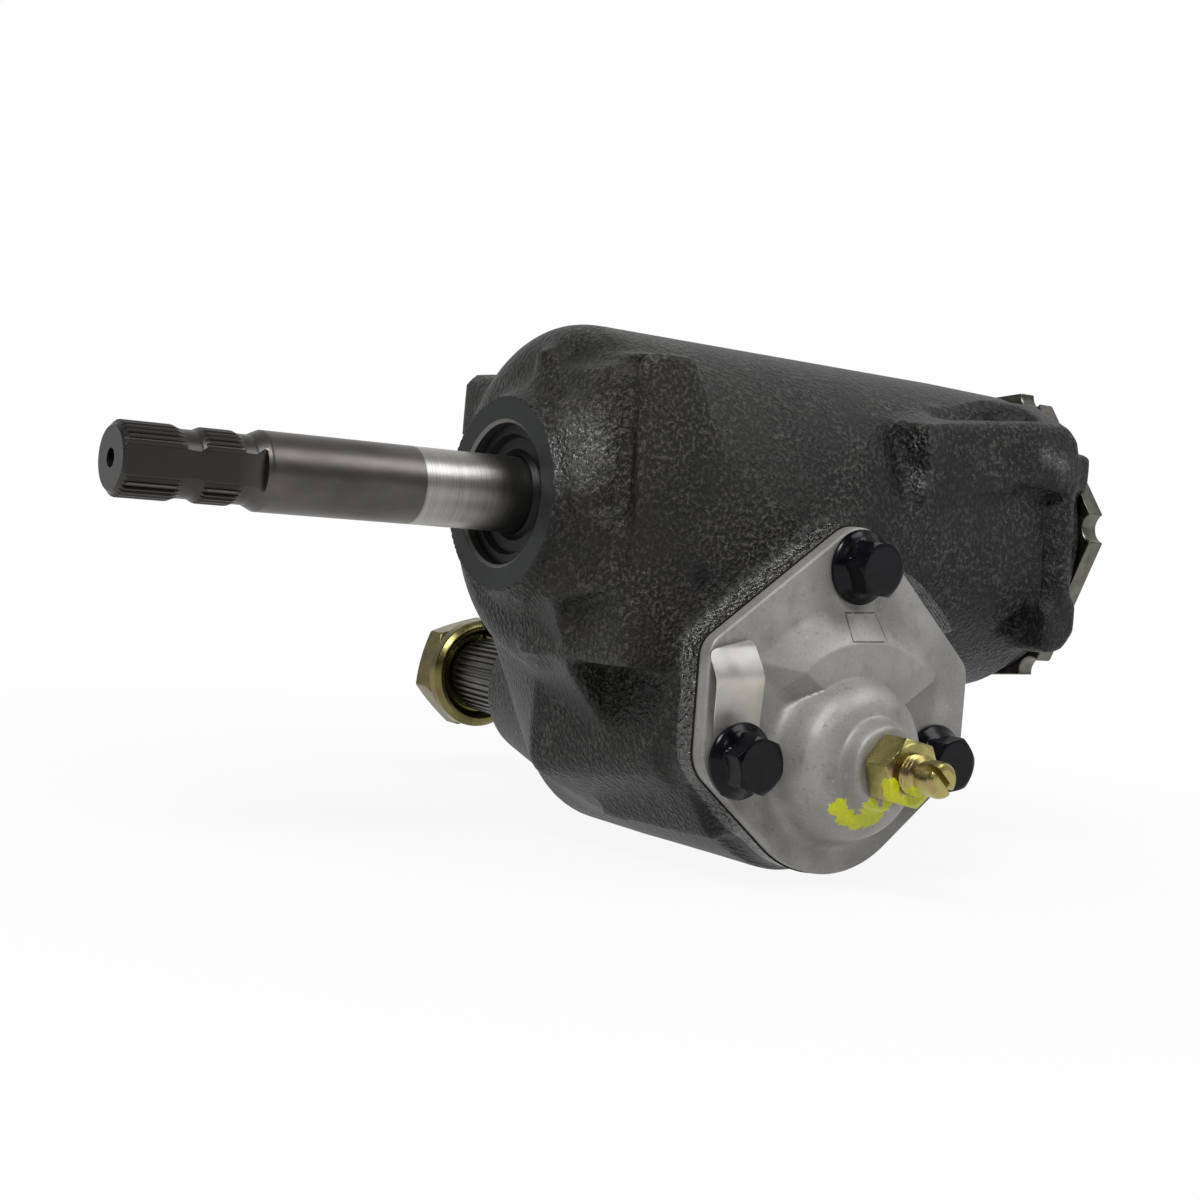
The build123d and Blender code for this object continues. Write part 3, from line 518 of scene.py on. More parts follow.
def trim_mouth(piece):
    """Narrows the boss towards its face, cuts its chin and keeps the bore behind the ring."""
    points = coordinates(piece.data)
    depth = (points[:, 0] - housing_low[0]) / MM
    across = points[:, 1:] - worm_centre[1:]
    reach = np.maximum(np.hypot(*across.T) / MM, 0.01)
    chin = np.clip(across[:, 0] / MM / 4 + 1.5, 0, 1) * np.clip(-across[:, 1] / MM / 4 - 1.5, 0, 1)
    limit = mouth_mm + (0.45 - 0.35 * chin) * depth + 0.15 * np.maximum(depth - 10, 0)
    pull = np.clip((31 - reach) / 1.5, 0, 1) * (depth < 20)
    held = reach + pull * np.minimum(limit - reach, 0)
    held = np.where(depth < ring_depth_mm, np.maximum(held, ring_back_mm), held)
    points[:, 1:] = worm_centre[1:] + across * (held / reach)[:, None]
    move_points(piece.data, points)


casting = merged_copy("cast_housing_body", "housing")
remesh = casting.modifiers.new("cells", "REMESH")
remesh.mode = "VOXEL"
remesh.voxel_size = cast_cell
baked(casting)
soften(casting, 40, 8)
touch_up(casting)
trim_mouth(casting)
thin = casting.modifiers.new("thin", "DECIMATE")
thin.ratio = min(1.0, most_faces / len(casting.data.polygons))
baked(casting)
casting.data.shade_smooth()
casting.data.set_sharp_from_angle(angle=radians(50))
dress(casting, iron, "case")
print("housing touches:", len(touches), "faces:", len(casting.data.polygons))

# %% [markdown]
# ## The turned mouth of the input boss
# The face round the input shaft and the bore of its seal were cut on a lathe, so they are the
# only crisp edges at this end of the casting. They are a turned ring of their own that sits
# in the casting, with a small bevel at the mouth of the bore.


# %% Turned mouth
def turned_mouth():
    """A ring about the worm axis from (depth, radius) pairs in millimetres, closed at the back."""
    outer = [(4.0, 25.0), (1.0, 26.7), (0.3, 26.65), (-0.04, 26.2), (-0.04, 20.5)]
    inner = [(0.08, 20.3), (0.8, 19.5), (10.1, 19.42), (10.1, 20.3), (4.0, 25.0)]
    outline = stations(outer + inner, 0.8)
    x, radius = housing_low[0] + outline[:, :1], outline[:, 1:]
    return grid_piece("turned_mouth", about_worm(x, radius, around(160)), 25)


def mouth_iron():
    """Dull dark iron on the face and a bright cut on the bevel and the bore."""
    place = start("turned_iron")
    parts = node(place, "SeparateXYZ", {0: place}).outputs
    reach = off_axis(parts, worm_centre, (1, 2))
    bore = remap(reach, 20.3 * MM, 20.5 * MM, 1.0, 0.0)
    specks = noise(place, 0.8, 3.0)
    dull = remap(specks, 0.35, 0.65)
    face = blend(dull, (0.010, 0.0115, 0.0115), (0.022, 0.024, 0.024))
    colour = blend(bore, face, (0.17, 0.165, 0.155))
    rough = remap(specks, 0.3, 0.7, 0.38, 0.52)
    metallic = remap(bore, 0.0, 1.0, 0.15, 0.9)
    return finish("turned_iron", metallic, colour, rough, bumped(specks, 0.06, 0.6), 0.25)


mouth = turned_mouth()
dress(mouth, mouth_iron(), "case")
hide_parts("housing")
print("mouth faces:", len(mouth.data.polygons))

# %% [markdown]
# ## Metals
# Machined and plated metals differ less in colour than in how they were made: a turned shaft
# has fine rings, a die casting has soft mottling, zinc plating has a yellow chromate film with
# faint rainbow drift, and black oxide is nearly black with an oily shine.


# %% Metal recipes
def turned_steel(name, dark, light, rough, ring_mm=0.25):
    """Steel with fine rings across X and slow clouds of tone."""
    place = start(name)
    rings = noise(place, ring_mm, 2.0, stretch=(1, 60, 60))
    clouds = noise(place, 14, 4.0)
    colour = blend(remap(clouds), dark, light)
    gloss = remap(rings, 0.3, 0.7, rough - 0.06, rough + 0.08)
    return finish(name, 1.0, colour, gloss, bumped(rings, 0.02, 0.5))


frame_corners = [(-3.4, 39.4), (8.1, 39.9), (9.3, 32.4), (-3.3, 32.0)]


def die_cast():
    """Satin die-cast aluminium: clouded, scuffed, stained, with a small plain frame cast in."""
    place = start("die_cast_aluminium")
    clouds = noise(place, 15, 5.0)
    specks = noise(place, 0.9, 3.0)
    stains = noise(place, 5, 4.0, stretch=(1, 1, 2))
    cloudy = remap(clouds)
    colour = blend(cloudy, (0.235, 0.226, 0.208), (0.355, 0.345, 0.33))
    colour = blend(remap(stains, 0.58, 0.75, 0.0, 0.55), colour, (0.17, 0.158, 0.135))
    colour = blend(remap(specks, 0.62, 0.76, 0.0, 0.7), colour, (0.11, 0.10, 0.09))
    colour = blend(remap(specks, 0.38, 0.26, 0.0, 0.5), colour, (0.46, 0.455, 0.44))
    corners = np.array(frame_corners) * MM
    outside = None
    for a, b in zip(corners, np.roll(corners, -1, axis=0)):
        across = np.array([a[1] - b[1], b[0] - a[0]]) / np.linalg.norm(b - a)
        along = measure("DOT_PRODUCT", place, (across[0], 0, across[1]))
        away = maths("SUBTRACT", along, float(across @ (a + sector_centre[[0, 2]])))
        outside = away if outside is None else maths("MAXIMUM", outside, away)
    line = remap(maths("ABSOLUTE", outside), 0.08 * MM, 0.34 * MM, 1.0, 0.0)
    worn = remap(noise(place, 2.2, 2.0), 0.34, 0.5, 0.15, 0.9)
    line = maths("MULTIPLY", line, worn)
    colour = blend(line, colour, (0.035, 0.032, 0.028))
    colour, rough, wet = painted(place, colour, remap(clouds, 0.3, 0.7, 0.58, 0.46))
    skin = bumped(clouds, 0.25, 0.5, bumped(specks, 0.05, 0.5))
    return finish("die_cast_aluminium", remap(wet, 0.0, 1.0, 0.4, 0.0), colour, rough, skin)


def black_oxide():
    """Blackened bolt steel with an oily film."""
    place = start("black_oxide")
    patches = noise(place, 3.5, 3.0)
    patchy = remap(patches, 0.35, 0.65)
    colour = blend(patchy, (0.0015, 0.0015, 0.002), (0.0045, 0.005, 0.008))
    rough = remap(patches, 0.3, 0.7, 0.13, 0.24)
    return finish("black_oxide", 0.0, colour, rough, bumped(patches, 0.05, 0.4), 0.16)


def yellow_zinc(name, shade_factor=1.0):
    """Zinc with a yellow chromate film of olive, gold and brown; the factor darkens it, painted shade."""
    place = start(name)
    drift = noise(place, 9, 2.0)
    fine = noise(place, 1.4, 2.0)
    tones = np.array([(0.25, 0.24, 0.085), (0.40, 0.345, 0.13), (0.33, 0.235, 0.115)]) * shade_factor
    olive, gold, brown = [tuple(tone) for tone in tones]
    colour = blend(remap(drift, 0.34, 0.52), olive, gold)
    colour = blend(remap(drift, 0.56, 0.70), colour, brown)
    gloss = remap(fine, 0.3, 0.7, 0.24, 0.33)
    colour, gloss, wet = painted(place, colour, gloss)
    metallic = remap(wet, 0.0, 1.0, 1.0, 0.0)
    return finish(name, metallic, colour, gloss, bumped(fine, 0.012, 0.35))


def plain(name, dark, light, metallic, rough, lump_mm=2.0, depth_mm=0.05, specular=0.5):
    """A simpler finish: two tones, a roughness and a fine bump."""
    place = start(name)
    lumps = noise(place, lump_mm, 3.0)
    colour = blend(remap(lumps), dark, light)
    gloss = remap(lumps, 0.3, 0.7, rough - 0.06, rough + 0.06)
    return finish(name, metallic, colour, gloss, bumped(lumps, depth_mm, 0.5), specular)


dark_tones = (0.085, 0.082, 0.080), (0.17, 0.165, 0.155)
dark_turned = turned_steel("dark_turned_steel", *dark_tones, 0.36)
ground_tones = (0.24, 0.235, 0.225), (0.34, 0.33, 0.315)
bright_ground = turned_steel("bright_ground_steel", *ground_tones, 0.30, 0.12)
aluminium = die_cast()
black = black_oxide()
zinc = yellow_zinc("yellow_zinc")
# A darker copy of the zinc is painted shade for the pitman nut and its washer, which sit in shadow.
shaded_zinc = yellow_zinc("shaded_zinc", 0.42)
rubber_tones = (0.002, 0.002, 0.003), (0.005, 0.005, 0.006)
rubber = plain("seal_rubber", *rubber_tones, 0.0, 0.42, 0.8, specular=0.2)
paper_tones = (0.007, 0.0045, 0.0035), (0.018, 0.011, 0.008)
gasket = plain("gasket_paper", *paper_tones, 0.0, 0.8, 0.7, specular=0.2)
tag_tones = (0.44, 0.425, 0.41), (0.58, 0.565, 0.55)
tag_metal = plain("tag_metal", *tag_tones, 1.0, 0.42, 7.0, 0.25)
stamped_tones = (0.095, 0.092, 0.074), (0.18, 0.172, 0.145)
stamped = plain("stamped_steel", *stamped_tones, 1.0, 0.34, 4.0)
bronze = plain("bushing_bronze", (0.35, 0.22, 0.10), (0.50, 0.33, 0.16), 1.0, 0.35)
print("metals:", len(bpy.data.materials))

# %% [markdown]
# ## The input shaft
# One turned bar: two splined bands with a pinch groove between them, a dull turned stretch and
# a bright ground stretch for the seal. The shape is a single radius that depends on the place
# along the shaft and the angle around it. Splines are a ripple of the angle, and the flat for
# the coupling bolt is a ceiling: no point may stand further out than the flat's plane.

# %% Input shaft
shaft_tip_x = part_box("worm_shaft")[0][0]
boss_face_x = housing_low[0]
spline_teeth, spline_tip_r, spline_root_r = 36, 9.525 * MM, 8.75 * MM
first_band_end, second_band_start, second_band_end = 16 * MM, 21.5 * MM, 31.4 * MM
flat_half, flat_end = 7.9 * MM, 37.2 * MM
# Half outline of the shaft: distance from the tip and radius, in mm.
first_band = [(0, 2.4), (0, 7.9), (1.5, 9.5), (14.3, 9.5), (16.4, 8.7)]
groove = [(17.6, 8.6), (20.3, 8.6), (22.4, 9.5)]
second_band = [(30.2, 9.5), (31.8, 8.9), (35.0, 8.9), (38.4, 10.4)]


def splined_radius(along, radius, angle):
    """The outline's radius, rippled into teeth on the two bands, held under the flat."""
    in_second = (along > second_band_start) & (along < second_band_end)
    in_bands = (along < first_band_end) | in_second
    wave = np.clip(1.6 * np.cos(spline_teeth * angle), -1, 1)
    tooth = np.minimum(spline_root_r + (spline_tip_r - spline_root_r) * (wave + 1) / 2, radius)
    toothed = np.where(in_bands & (radius > 8 * MM), tooth, radius)
    towards_flat = np.maximum(-np.cos(angle), 1e-3)
    held = np.minimum(toothed, flat_half / towards_flat)
    return np.where(along < flat_end, held, toothed)


outline = stations(first_band + groove + second_band + [(119.0, 10.4)], 0.45)
angle = around(spline_teeth * 8)
along = outline[:, :1]
radius = splined_radius(along, outline[:, 1:], angle)
skin = about_worm(shaft_tip_x + along, radius, angle)
bore = about_worm(shaft_tip_x + 5 * MM, 1e-7, angle)
bore_wall = about_worm(shaft_tip_x + 4 * MM, 2.3 * MM, angle)
input_shaft = grid_piece("input_shaft", np.vstack([bore, bore_wall, skin]), crease=28)
print("input shaft faces:", len(input_shaft.data.polygons))

# %% [markdown]
# ## The worm inside
# The rest of the bar is the worm. A ball groove winds round it: at every point the distance to
# the nearest turn of the helix says how deep a ball of 7.6 mm would sink in.

# %% Worm screw
worm_lead, ball_circle, groove_radius = 10 * MM, 13.6 * MM, 3.82 * MM
groove_half_length = 60 * MM
# Half outline of the inner shaft: distance from the boss face and radius, in mm.
front = [(7.8, 10.4), (13.5, 10.4), (17.5, 12.5), (21.5, 12.5), (21.5, 11.7), (22.5, 12.9)]
back = [(132.5, 12.9), (132.5, 12.5), (136.5, 12.5), (140.5, 9.5), (158.0, 9.5), (158.0, 0.0)]
outline = stations(front + back, 0.6)
angle = around(160)
along, radius = boss_face_x + outline[:, :1], outline[:, 1:]
turn_share = (along - sector_centre[0]) / worm_lead - angle / (2 * pi)
offset = (turn_share - np.round(turn_share)) * worm_lead
sink = ball_circle - np.sqrt(np.maximum(groove_radius**2 - offset**2, 0.0))
on_worm = np.abs(along - sector_centre[0]) < groove_half_length
grooved = on_worm & (np.abs(offset) < groove_radius)
radius = np.where(grooved, np.minimum(radius, sink), radius)
worm_screw = grid_piece("worm_screw", about_worm(along, radius, angle), crease=28)
for turned in (input_shaft, worm_screw):
    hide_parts("worm_shaft")
print("worm faces:", len(worm_screw.data.polygons))

# %% [markdown]
# The dull and the ground stretch differ only in finish, so one material switches between the
# two recipes at a place along X.


# %% Shaft finish
def shaft_finish():
    """Dark turned steel up to the ground stretch, bright rings from there on."""
    place = start("input_shaft_steel")
    along_x = node(place, "SeparateXYZ", {0: place}).outputs[0]
    ground = remap(along_x, boss_face_x - 28.9 * MM, boss_face_x - 28.6 * MM)
    rings = noise(place, 0.22, 2.0, stretch=(1, 80, 80))
    clouds = noise(place, 11, 4.0, stretch=(2, 1, 1))
    stained = remap(clouds)
    cut = remap(along_x, shaft_tip_x + 30 * MM, shaft_tip_x + 40 * MM)
    turned = blend(stained, (0.080, 0.074, 0.069), (0.145, 0.135, 0.125))
    dull = blend(cut, (0.055, 0.052, 0.050), turned)
    bright = blend(remap(rings), (0.27, 0.262, 0.25), (0.40, 0.39, 0.37))
    rough = remap(ground, 0.0, 1.0, 0.38, 0.35)
    colour = blend(ground, dull, bright)
    return finish("input_shaft_steel", 1.0, colour, rough, bumped(rings, 0.012, 0.6))


shaft_steel = shaft_finish()
dress(input_shaft, shaft_steel, "worm")
dress(worm_screw, bright_ground, "worm")

# %% [markdown]
# ## Hexagons
# A bolt head is a hexagonal prism cut by a turned chamfer. In polar form that is one line: the
# radius is the smaller of the hexagon's and the turned outline's. The flange under the head is
# a plain cone, and where both exist the larger radius wins.

# %% Cover bolts
cover_front_y = sector_centre[1] - 110.5 * MM
bolt_low, bolt_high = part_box("cover_bolts")
flange_r, flange_top = 10.3 * MM, 3.15 * MM
left_x, right_x = bolt_low[0] + flange_r, bolt_high[0] - flange_r
low_z, top_z = bolt_low[2] + flange_r, bolt_high[2] - flange_r
bolt_places = [  # x, z, lift off the cover, and turn in degrees
    (left_x, low_z, 0.5 * MM, 14),
    (right_x, low_z, 0.0, 40),
    (sector_centre[0] + 0.8 * MM, top_z, 0.0, 27),
]


def hex_flange_bolt(name, x, z, lift, turn):
    """Rows run from the shank's end over the seat, the flange cone and the hexagon to the top."""
    shank = [(-22, 0.0), (-22, 3.8), (-21, 4.6), (-0.001, 4.6)]
    flange = [(0, 5.2), (0, 10.0), (0.35, 10.3), (1.25, 10.3), (1.6, 10.05), (2.5, 9.0), (3.1, 8.4)]
    head = [(3.2, 8.3), (8.9, 8.3), (9.35, 7.75), (9.7, 7.2), (9.88, 6.7), (9.9, 6.2), (9.85, 0.0)]
    outline = stations(shank + flange + head, 0.3)
    height, turned = outline[:, :1], outline[:, 1:]
    angle = around(180)
    hexagon = polygon_radius(angle, 14.29 * MM, turn=radians(turn))
    cone = np.clip(8.4 * MM - 1.2 * (height - 3.1 * MM), 0, 1) * (height < 4.6 * MM)
    headed = np.maximum(np.minimum(turned, hexagon), np.minimum(cone, turned))
    radius = np.where(height > flange_top, headed, turned + 0 * angle)
    y = cover_front_y - lift - height + 0 * angle
    points = [x + radius * np.cos(angle), y, z + radius * np.sin(angle)]
    return grid_piece(name, np.stack(points, axis=-1), crease=24)


for number, place in enumerate(bolt_places, 1):
    bolt = hex_flange_bolt(f"cover_bolt_{number}", *place)
    dress(bolt, black, "case")
    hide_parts("cover_bolts")
print("bolt faces:", len(bolt.data.polygons))


# %% Hexagon nuts
def hex_nut(name, flats, bore, near_y, far_y, turn):
    """A nut between two planes across the sector axis, chamfered at both ends."""
    inscribed = flats / 2
    corner = inscribed / cos(pi / 6)
    chamfer = (0.25 + 0.6 * (corner - inscribed), corner + 0.02)
    profile = [(0, bore), (0, inscribed - 0.5), (0.25, inscribed - 0.1), chamfer]
    length = (far_y - near_y) / MM
    mirrored = [(length - h, r) for h, r in reversed(profile)]
    outline = stations(profile + mirrored + [profile[0]], 0.3)
    angle = around(240)
    hexagon = polygon_radius(angle, flats * MM, turn=radians(turn), sharpness=110)
    radius = np.minimum(outline[:, 1:], hexagon)
    return grid_piece(name, about_sector(near_y + outline[:, :1], radius, angle), crease=24)


nut_low, nut_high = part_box("pitman_nut")
pitman_nut = hex_nut("pitman_hex_nut", 33.34, 11.12, nut_low[1], nut_high[1], -13)
# The nut takes the zinc copy that is darkened as painted shade.
dress(pitman_nut, shaded_zinc, "sector")
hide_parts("pitman_nut")
lash_low, lash_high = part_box("lash_adjuster_nut")
lash_nut = hex_nut("lash_lock_nut", 17.0, 5.58, lash_low[1], lash_high[1], 18)
dress(lash_nut, zinc, "case")
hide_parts("lash_adjuster_nut")
print("made", pitman_nut.name, "and", lash_nut.name)

# %% [markdown]
# ## The lash adjuster screw
# Its thread is a ridge that climbs one pitch per turn, so its height is a saw-tooth of place
# minus angle. The screwdriver slot is cut afterwards by a boolean with a thin block.

# %% Lash adjuster screw
screw_low, screw_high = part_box("lash_adjuster_screw")
thread_pitch = 1.27 * MM


def threaded_radius(along, radius, angle):
    """Crest radius minus a rounded saw-tooth groove that follows the helix."""
    phase = along / thread_pitch + angle / (2 * pi)
    groove = np.abs(phase - np.round(phase)) * 2
    depth = 0.62 * MM * np.clip(1.25 - 1.5 * groove, 0, 1)
    return np.where(radius > 5.5 * MM, radius - depth, radius)


def cut_by(piece, cutter, crease):
    """Takes the cutter's volume out of the piece with a boolean, and removes the cutter."""
    cut = piece.modifiers.new("cut", "BOOLEAN")
    cut.object = cutter
    cut.solver = "EXACT"
    baked(piece)
    bpy.data.objects.remove(cutter)
    piece.data.set_sharp_from_angle(angle=radians(crease))


length = (screw_high[1] - screw_low[1]) / MM
head_from = length - 3.4
tip = [(0, 0.0), (0.05, 3.0), (0.35, 4.1), (0.9, 4.6), (1.8, 4.86), (4.9, 4.86)]
thread = [(5.7, 4.2), (7.4, 4.2), (8.2, 5.56), (head_from, 5.56)]
head = [(head_from, 8.6), (length, 8.6), (length, 0.0)]
outline = stations(tip + thread + head, 0.16)
angle = around(96)
along = screw_low[1] + outline[:, :1]
radius = threaded_radius(along, outline[:, 1:], angle)
screw = grid_piece("lash_screw", about_sector(along, radius, angle), crease=30)

slot_turn, slot_long, slot_wide, slot_deep = radians(-42), 8 * MM, 0.85 * MM, 3.6 * MM
edge_u = np.array([cos(slot_turn), 0, sin(slot_turn)])
edge_v = np.array([-sin(slot_turn), 0, cos(slot_turn)])
square = ((-1, -1), (1, -1), (1, 1), (-1, 1))
corner_signs = np.array([(u, v, w) for w in (-1, 1) for u, v in square])
tip_point = np.array([sector_centre[0], screw_low[1], sector_centre[2]])
block = tip_point + corner_signs[:, :1] * slot_long * edge_u
block = block + corner_signs[:, 1:2] * slot_wide * edge_v
block[:, 1] += corner_signs[:, 2] * slot_deep
sides = [(0, 1, 2, 3), (7, 6, 5, 4), (0, 4, 5, 1), (1, 5, 6, 2), (2, 6, 7, 3), (3, 7, 4, 0)]
cut_by(screw, mesh_piece("slot_cutter", block, sides), 30)
dress(screw, zinc, "case")
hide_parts("lash_adjuster_screw")
print("screw faces:", len(screw.data.polygons))

# %% [markdown]
# ## The die-cast side cover
# The cover is a height map over its own outline, seen along the sector axis. The height is the
# larger of three landscapes: the flat plate, a fan that clears the swinging teeth, and the
# turned hub. Every corner between two of them is a rounded fillet.

# %% Side cover
plate_thickness, edge_round, blend_mm = 4 * MM, 0.9 * MM, 0.7
inner_reach, hub_bore = 30.9 * MM, 5.66
hub_profile = [  # radius and rise above the plate, in mm
    (5.6, 20.0), (10.3, 20.0), (11.2, 19.6), (11.9, 18.6), (12.3, 15.4), (12.9, 14.5),
    (14.2, 14.2), (17.2, 13.2), (20.1, 10.9), (21.8, 8.2), (22.5, 5.4), (23.3, 2.6),
    (24.4, 0.9), (26.4, -0.5),
]


def smooth_max(a, b, blend_width):
    """The larger of two heights, with a rounded fillet where they meet."""
    share = np.clip(0.5 + (a - b) / (2 * blend_width), 0, 1)
    return a * share + b * (1 - share) + blend_width * share * (1 - share)


def hub_height(radius):
    """Turned hub: a bell, a neck and the seat of the lock nut, its corners blurred a little."""
    reach, rise = np.array(hub_profile).T * MM
    blur = np.minimum(0.9 * MM, np.maximum(radius - 9.4 * MM, 0) * 0.18)
    return sum(np.interp(radius + blur * shift, reach, rise) for shift in (-1, -0.5, 0, 0.5, 1)) / 5


def fan_height(radius, angle):
    """A plateau that slopes down to the outer arc and falls off at its two radial sides."""
    to_right = np.cos(angle)
    plateau_edge = (31.5 + 4.5 * np.clip(to_right, 0, 1) + 2 * np.clip(to_right, -1, 0)) * MM
    share = np.clip((radius - plateau_edge) / (42.5 * MM - plateau_edge), 0, 1)
    cone = 5.6 * MM * (1 - share) - 0.8 * MM * share
    inside = np.clip((41 * MM - radius) / (11 * MM), 0, 1)
    half = np.where(to_right > 0, radians(55.5), radians(52) + radians(5) * inside)
    steep = np.where(to_right > 0, 2.2, 0.62)
    from_side = radius * np.sin(np.clip(half - np.abs(angle - pi / 2), -pi / 2, pi / 2))
    return smooth_max(-0.6 * MM, np.minimum(cone, steep * from_side), 0.35 * MM)


angle = np.linspace(-pi / 2, 3 * pi / 2, 480, endpoint=False)[None, :]
inner = np.arange(hub_bore, 31, 0.33)[:, None] * MM
share = np.linspace(0, 1, 72)[1:, None]
edge = cover_reach(angle)
outer = inner_reach + (edge - inner_reach - edge_round) * share
radius = np.vstack([inner + 0 * angle, outer])
relief = smooth_max(fan_height(radius, angle), hub_height(radius), blend_mm * MM)
height = plate_thickness + smooth_max(relief, 0, blend_mm * MM)
lip = np.linspace(0, pi / 2, 6)[1:, None]
lip_radius = edge - edge_round + edge_round * np.sin(lip)
lip_height = height[-1:] - edge_round * (1 - np.cos(lip))
under_radius = [edge] + [reach * MM + 0 * angle for reach in (22, 20.3, 20.3, 16.3, 16.3, hub_bore)]
under_height = np.array([0, 0, 0, -26, -26, 13, 13])[:, None] * MM + 0 * angle
radius = np.vstack([radius, lip_radius, *under_radius, radius[:1]])
height = np.vstack([height, lip_height, under_height, height[:1]])
seat_y = cover_front_y + plate_thickness
cover = grid_piece("die_cast_cover", about_sector(seat_y - height, radius, angle), crease=40)
dress(cover, aluminium, "case")
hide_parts("side_cover")
print("cover faces:", len(cover.data.polygons))

# %% [markdown]
# ## Small neighbours as welded copies
# The gasket, the washer, the seal and the adjuster's lock nut have the right shape in
# CAD. Copies are welded for smooth shading; the washer and the lock nut also get a fine bevel,
# so that their edges catch light as real ones do.


# %% Welded copies
def bevelled_copy(node_name, material, body, width, crease=32):
    """A welded copy with rounded edges of that width, in millimetres."""
    piece = merged_copy(node_name + "_finished", node_name, crease)
    if width:
        bevel = piece.modifiers.new("soft edges", "BEVEL")
        bevel.width = width * MM
        bevel.segments = 2
        bevel.limit_method = "ANGLE"
        bevel.angle_limit = radians(40)
    dress(piece, material, body)
    print("welded", piece.name)


bevelled_copy("cover_gasket", gasket, "case", 0.0)
# The washer takes the zinc copy that is darkened as painted shade.
bevelled_copy("pitman_lock_washer", shaded_zinc, "sector", 0.25, 45)
bevelled_copy("input_seal", rubber, "case", 0.0)
bevelled_copy("bearing_adjuster_nut", stamped, "case", 0.5)
bevelled_copy("bearing_adjuster", dark_turned, "case", 0.0)
bevelled_copy("sector_shaft", dark_turned, "sector", 0.0, 20)

# %% [markdown]
# ## The blank tag
# A thin strip is clamped under the left bolt. It springs off the cover between the bolt and
# its free end, which was bent back over the corner. The strip is a line of (along, out) points
# carried across its width, with the corners of the free end rounded off.

# %% Blank tag
tag_lean = radians(13.3)
tag_foot = np.array([left_x, cover_front_y, low_z])
up_tag = np.array([-sin(tag_lean), 0, cos(tag_lean)])
across_tag = np.array([cos(tag_lean), 0, sin(tag_lean)])
tag_along = np.array([-6, 0, 7, 11, 14, 17, 20, 22.2, 23.4, 25, 27, 29, 31.4]) * MM
tag_out = np.array([0.25, 0.25, 0.4, 1.2, 2.1, 3.0, 3.9, 4.4, 4.4, 4.0, 3.2, 2.3, 1.2]) * MM
tag_round, tag_half_thickness = 2.2 * MM, 0.24


def tag_strip():
    """Rows along the strip; each row goes round its section: over the front, back underneath."""
    along = np.linspace(tag_along[0], tag_along[-1], 90)[:, None]
    across = np.concatenate([np.linspace(-1, 1, 16), np.linspace(1, -1, 16)])
    corner = np.clip((along - (tag_along[-1] - tag_round)) / tag_round, 0, 1)
    half = (7.3 + 0.02 * np.clip(along / MM, 0, 40)) * MM
    half = half - tag_round * (1 - np.sqrt(1 - corner**2 * 0.999))
    side = half * across
    crease = along + 0.17 * side
    shifts = np.array([-0.8, -0.4, 0, 0.4, 0.8]) * MM
    out = sum(np.interp(crease + shift, tag_along, tag_out) for shift in shifts) / 5
    face = np.repeat([tag_half_thickness, -tag_half_thickness], 16) * MM
    lift = out + face + 0.25 * MM
    points = tag_foot + along[..., None] * up_tag + side[..., None] * across_tag
    points[..., 1] -= lift
    ends = [end.mean(axis=1, keepdims=True) + 0 * end for end in (points[:1], points[-1:])]
    return grid_piece("blank_tag", np.vstack([ends[0], points, ends[1]]), crease=50)


tag = tag_strip()
hole = np.array([(-6, 0.0), (-6, 5.2), (6, 5.2), (6, 0.0)]) * MM
hole_x = left_x + hole[:, 1:] * np.cos(around(48))
hole_z = low_z + hole[:, 1:] * np.sin(around(48))
bolt_hole = np.stack([hole_x, cover_front_y + hole[:, :1] + 0 * hole_x, hole_z], axis=-1)
cut_by(tag, grid_piece("tag_hole", bolt_hole), 50)
dress(tag, tag_metal, "case")
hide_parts("id_tag")
print("tag faces:", len(tag.data.polygons))

# %% [markdown]
# ## Dress the CAD nodes
# Inner pieces are true as they are, so their CAD nodes only need their finish.

# %% Node finishes
by_slot = {
    "cast_housing": iron,
    "cast_cover": aluminium,
    "gasket_paper": gasket,
    "tag_metal": tag_metal,
    "black_steel": black,
    "zinc_steel": zinc,
    "bright_steel": bright_ground,
    "dark_steel": dark_turned,
    "bushing_bronze": bronze,
    "seal_rubber": rubber,
    "stamped_steel": stamped,
}
for part in frame["record"]["subparts"]:
    dress(frame["nodes"][part["node"]], by_slot[part["material_slot"]])

# %% [markdown]
# ## Camera, light and floor
# The camera stands where the photographer's did: level with the worm, a little over half a
# metre away, rolled by five degrees. Its place and angles were fitted to the bolt heads, the
# nut and the shaft, whose sizes are standard.

# %% Camera
photo_pixels, focal_pixels, sensor_mm = 1200, 1993.8, 36
eye = Vector((-0.3875, -0.5116, -0.0242))
heading, pitch, roll = radians(-35.468), radians(2.764), radians(5.260)

forward = Vector((-sin(heading) * cos(pitch), cos(heading) * cos(pitch), -sin(pitch)))
right = forward.cross(Vector((0, 0, 1))).normalized()
upward = right.cross(forward)
right, upward = cos(roll) * right + sin(roll) * upward, cos(roll) * upward - sin(roll) * right

camera = into_scene("camera", bpy.data.cameras.new("camera"))
camera.data.sensor_width = sensor_mm
camera.data.lens = sensor_mm * focal_pixels / photo_pixels
camera.data.clip_start = 0.01
turned = Matrix((right, upward, -forward)).transposed().to_4x4()
camera.matrix_world = Matrix.Translation(eye) @ turned
bpy.context.scene.camera = camera
print("lens", round(camera.data.lens, 1), "mm")

# %% [markdown]
# The camera and the glossy rays see white all round, dimmer on the side where the photographer
# stood, as in a real room. The rest of the light is a weak even sky and three soft lamps.

# %% Floor
floor_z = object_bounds()[0][2] - 0.0005
floor_half = 6.0
corners = [(x * floor_half, y * floor_half, floor_z) for x, y in square]
floor_mesh = bpy.data.meshes.new("floor")
floor_mesh.from_pydata(corners, [], [(0, 1, 2, 3)])
floor = into_scene("floor", floor_mesh)


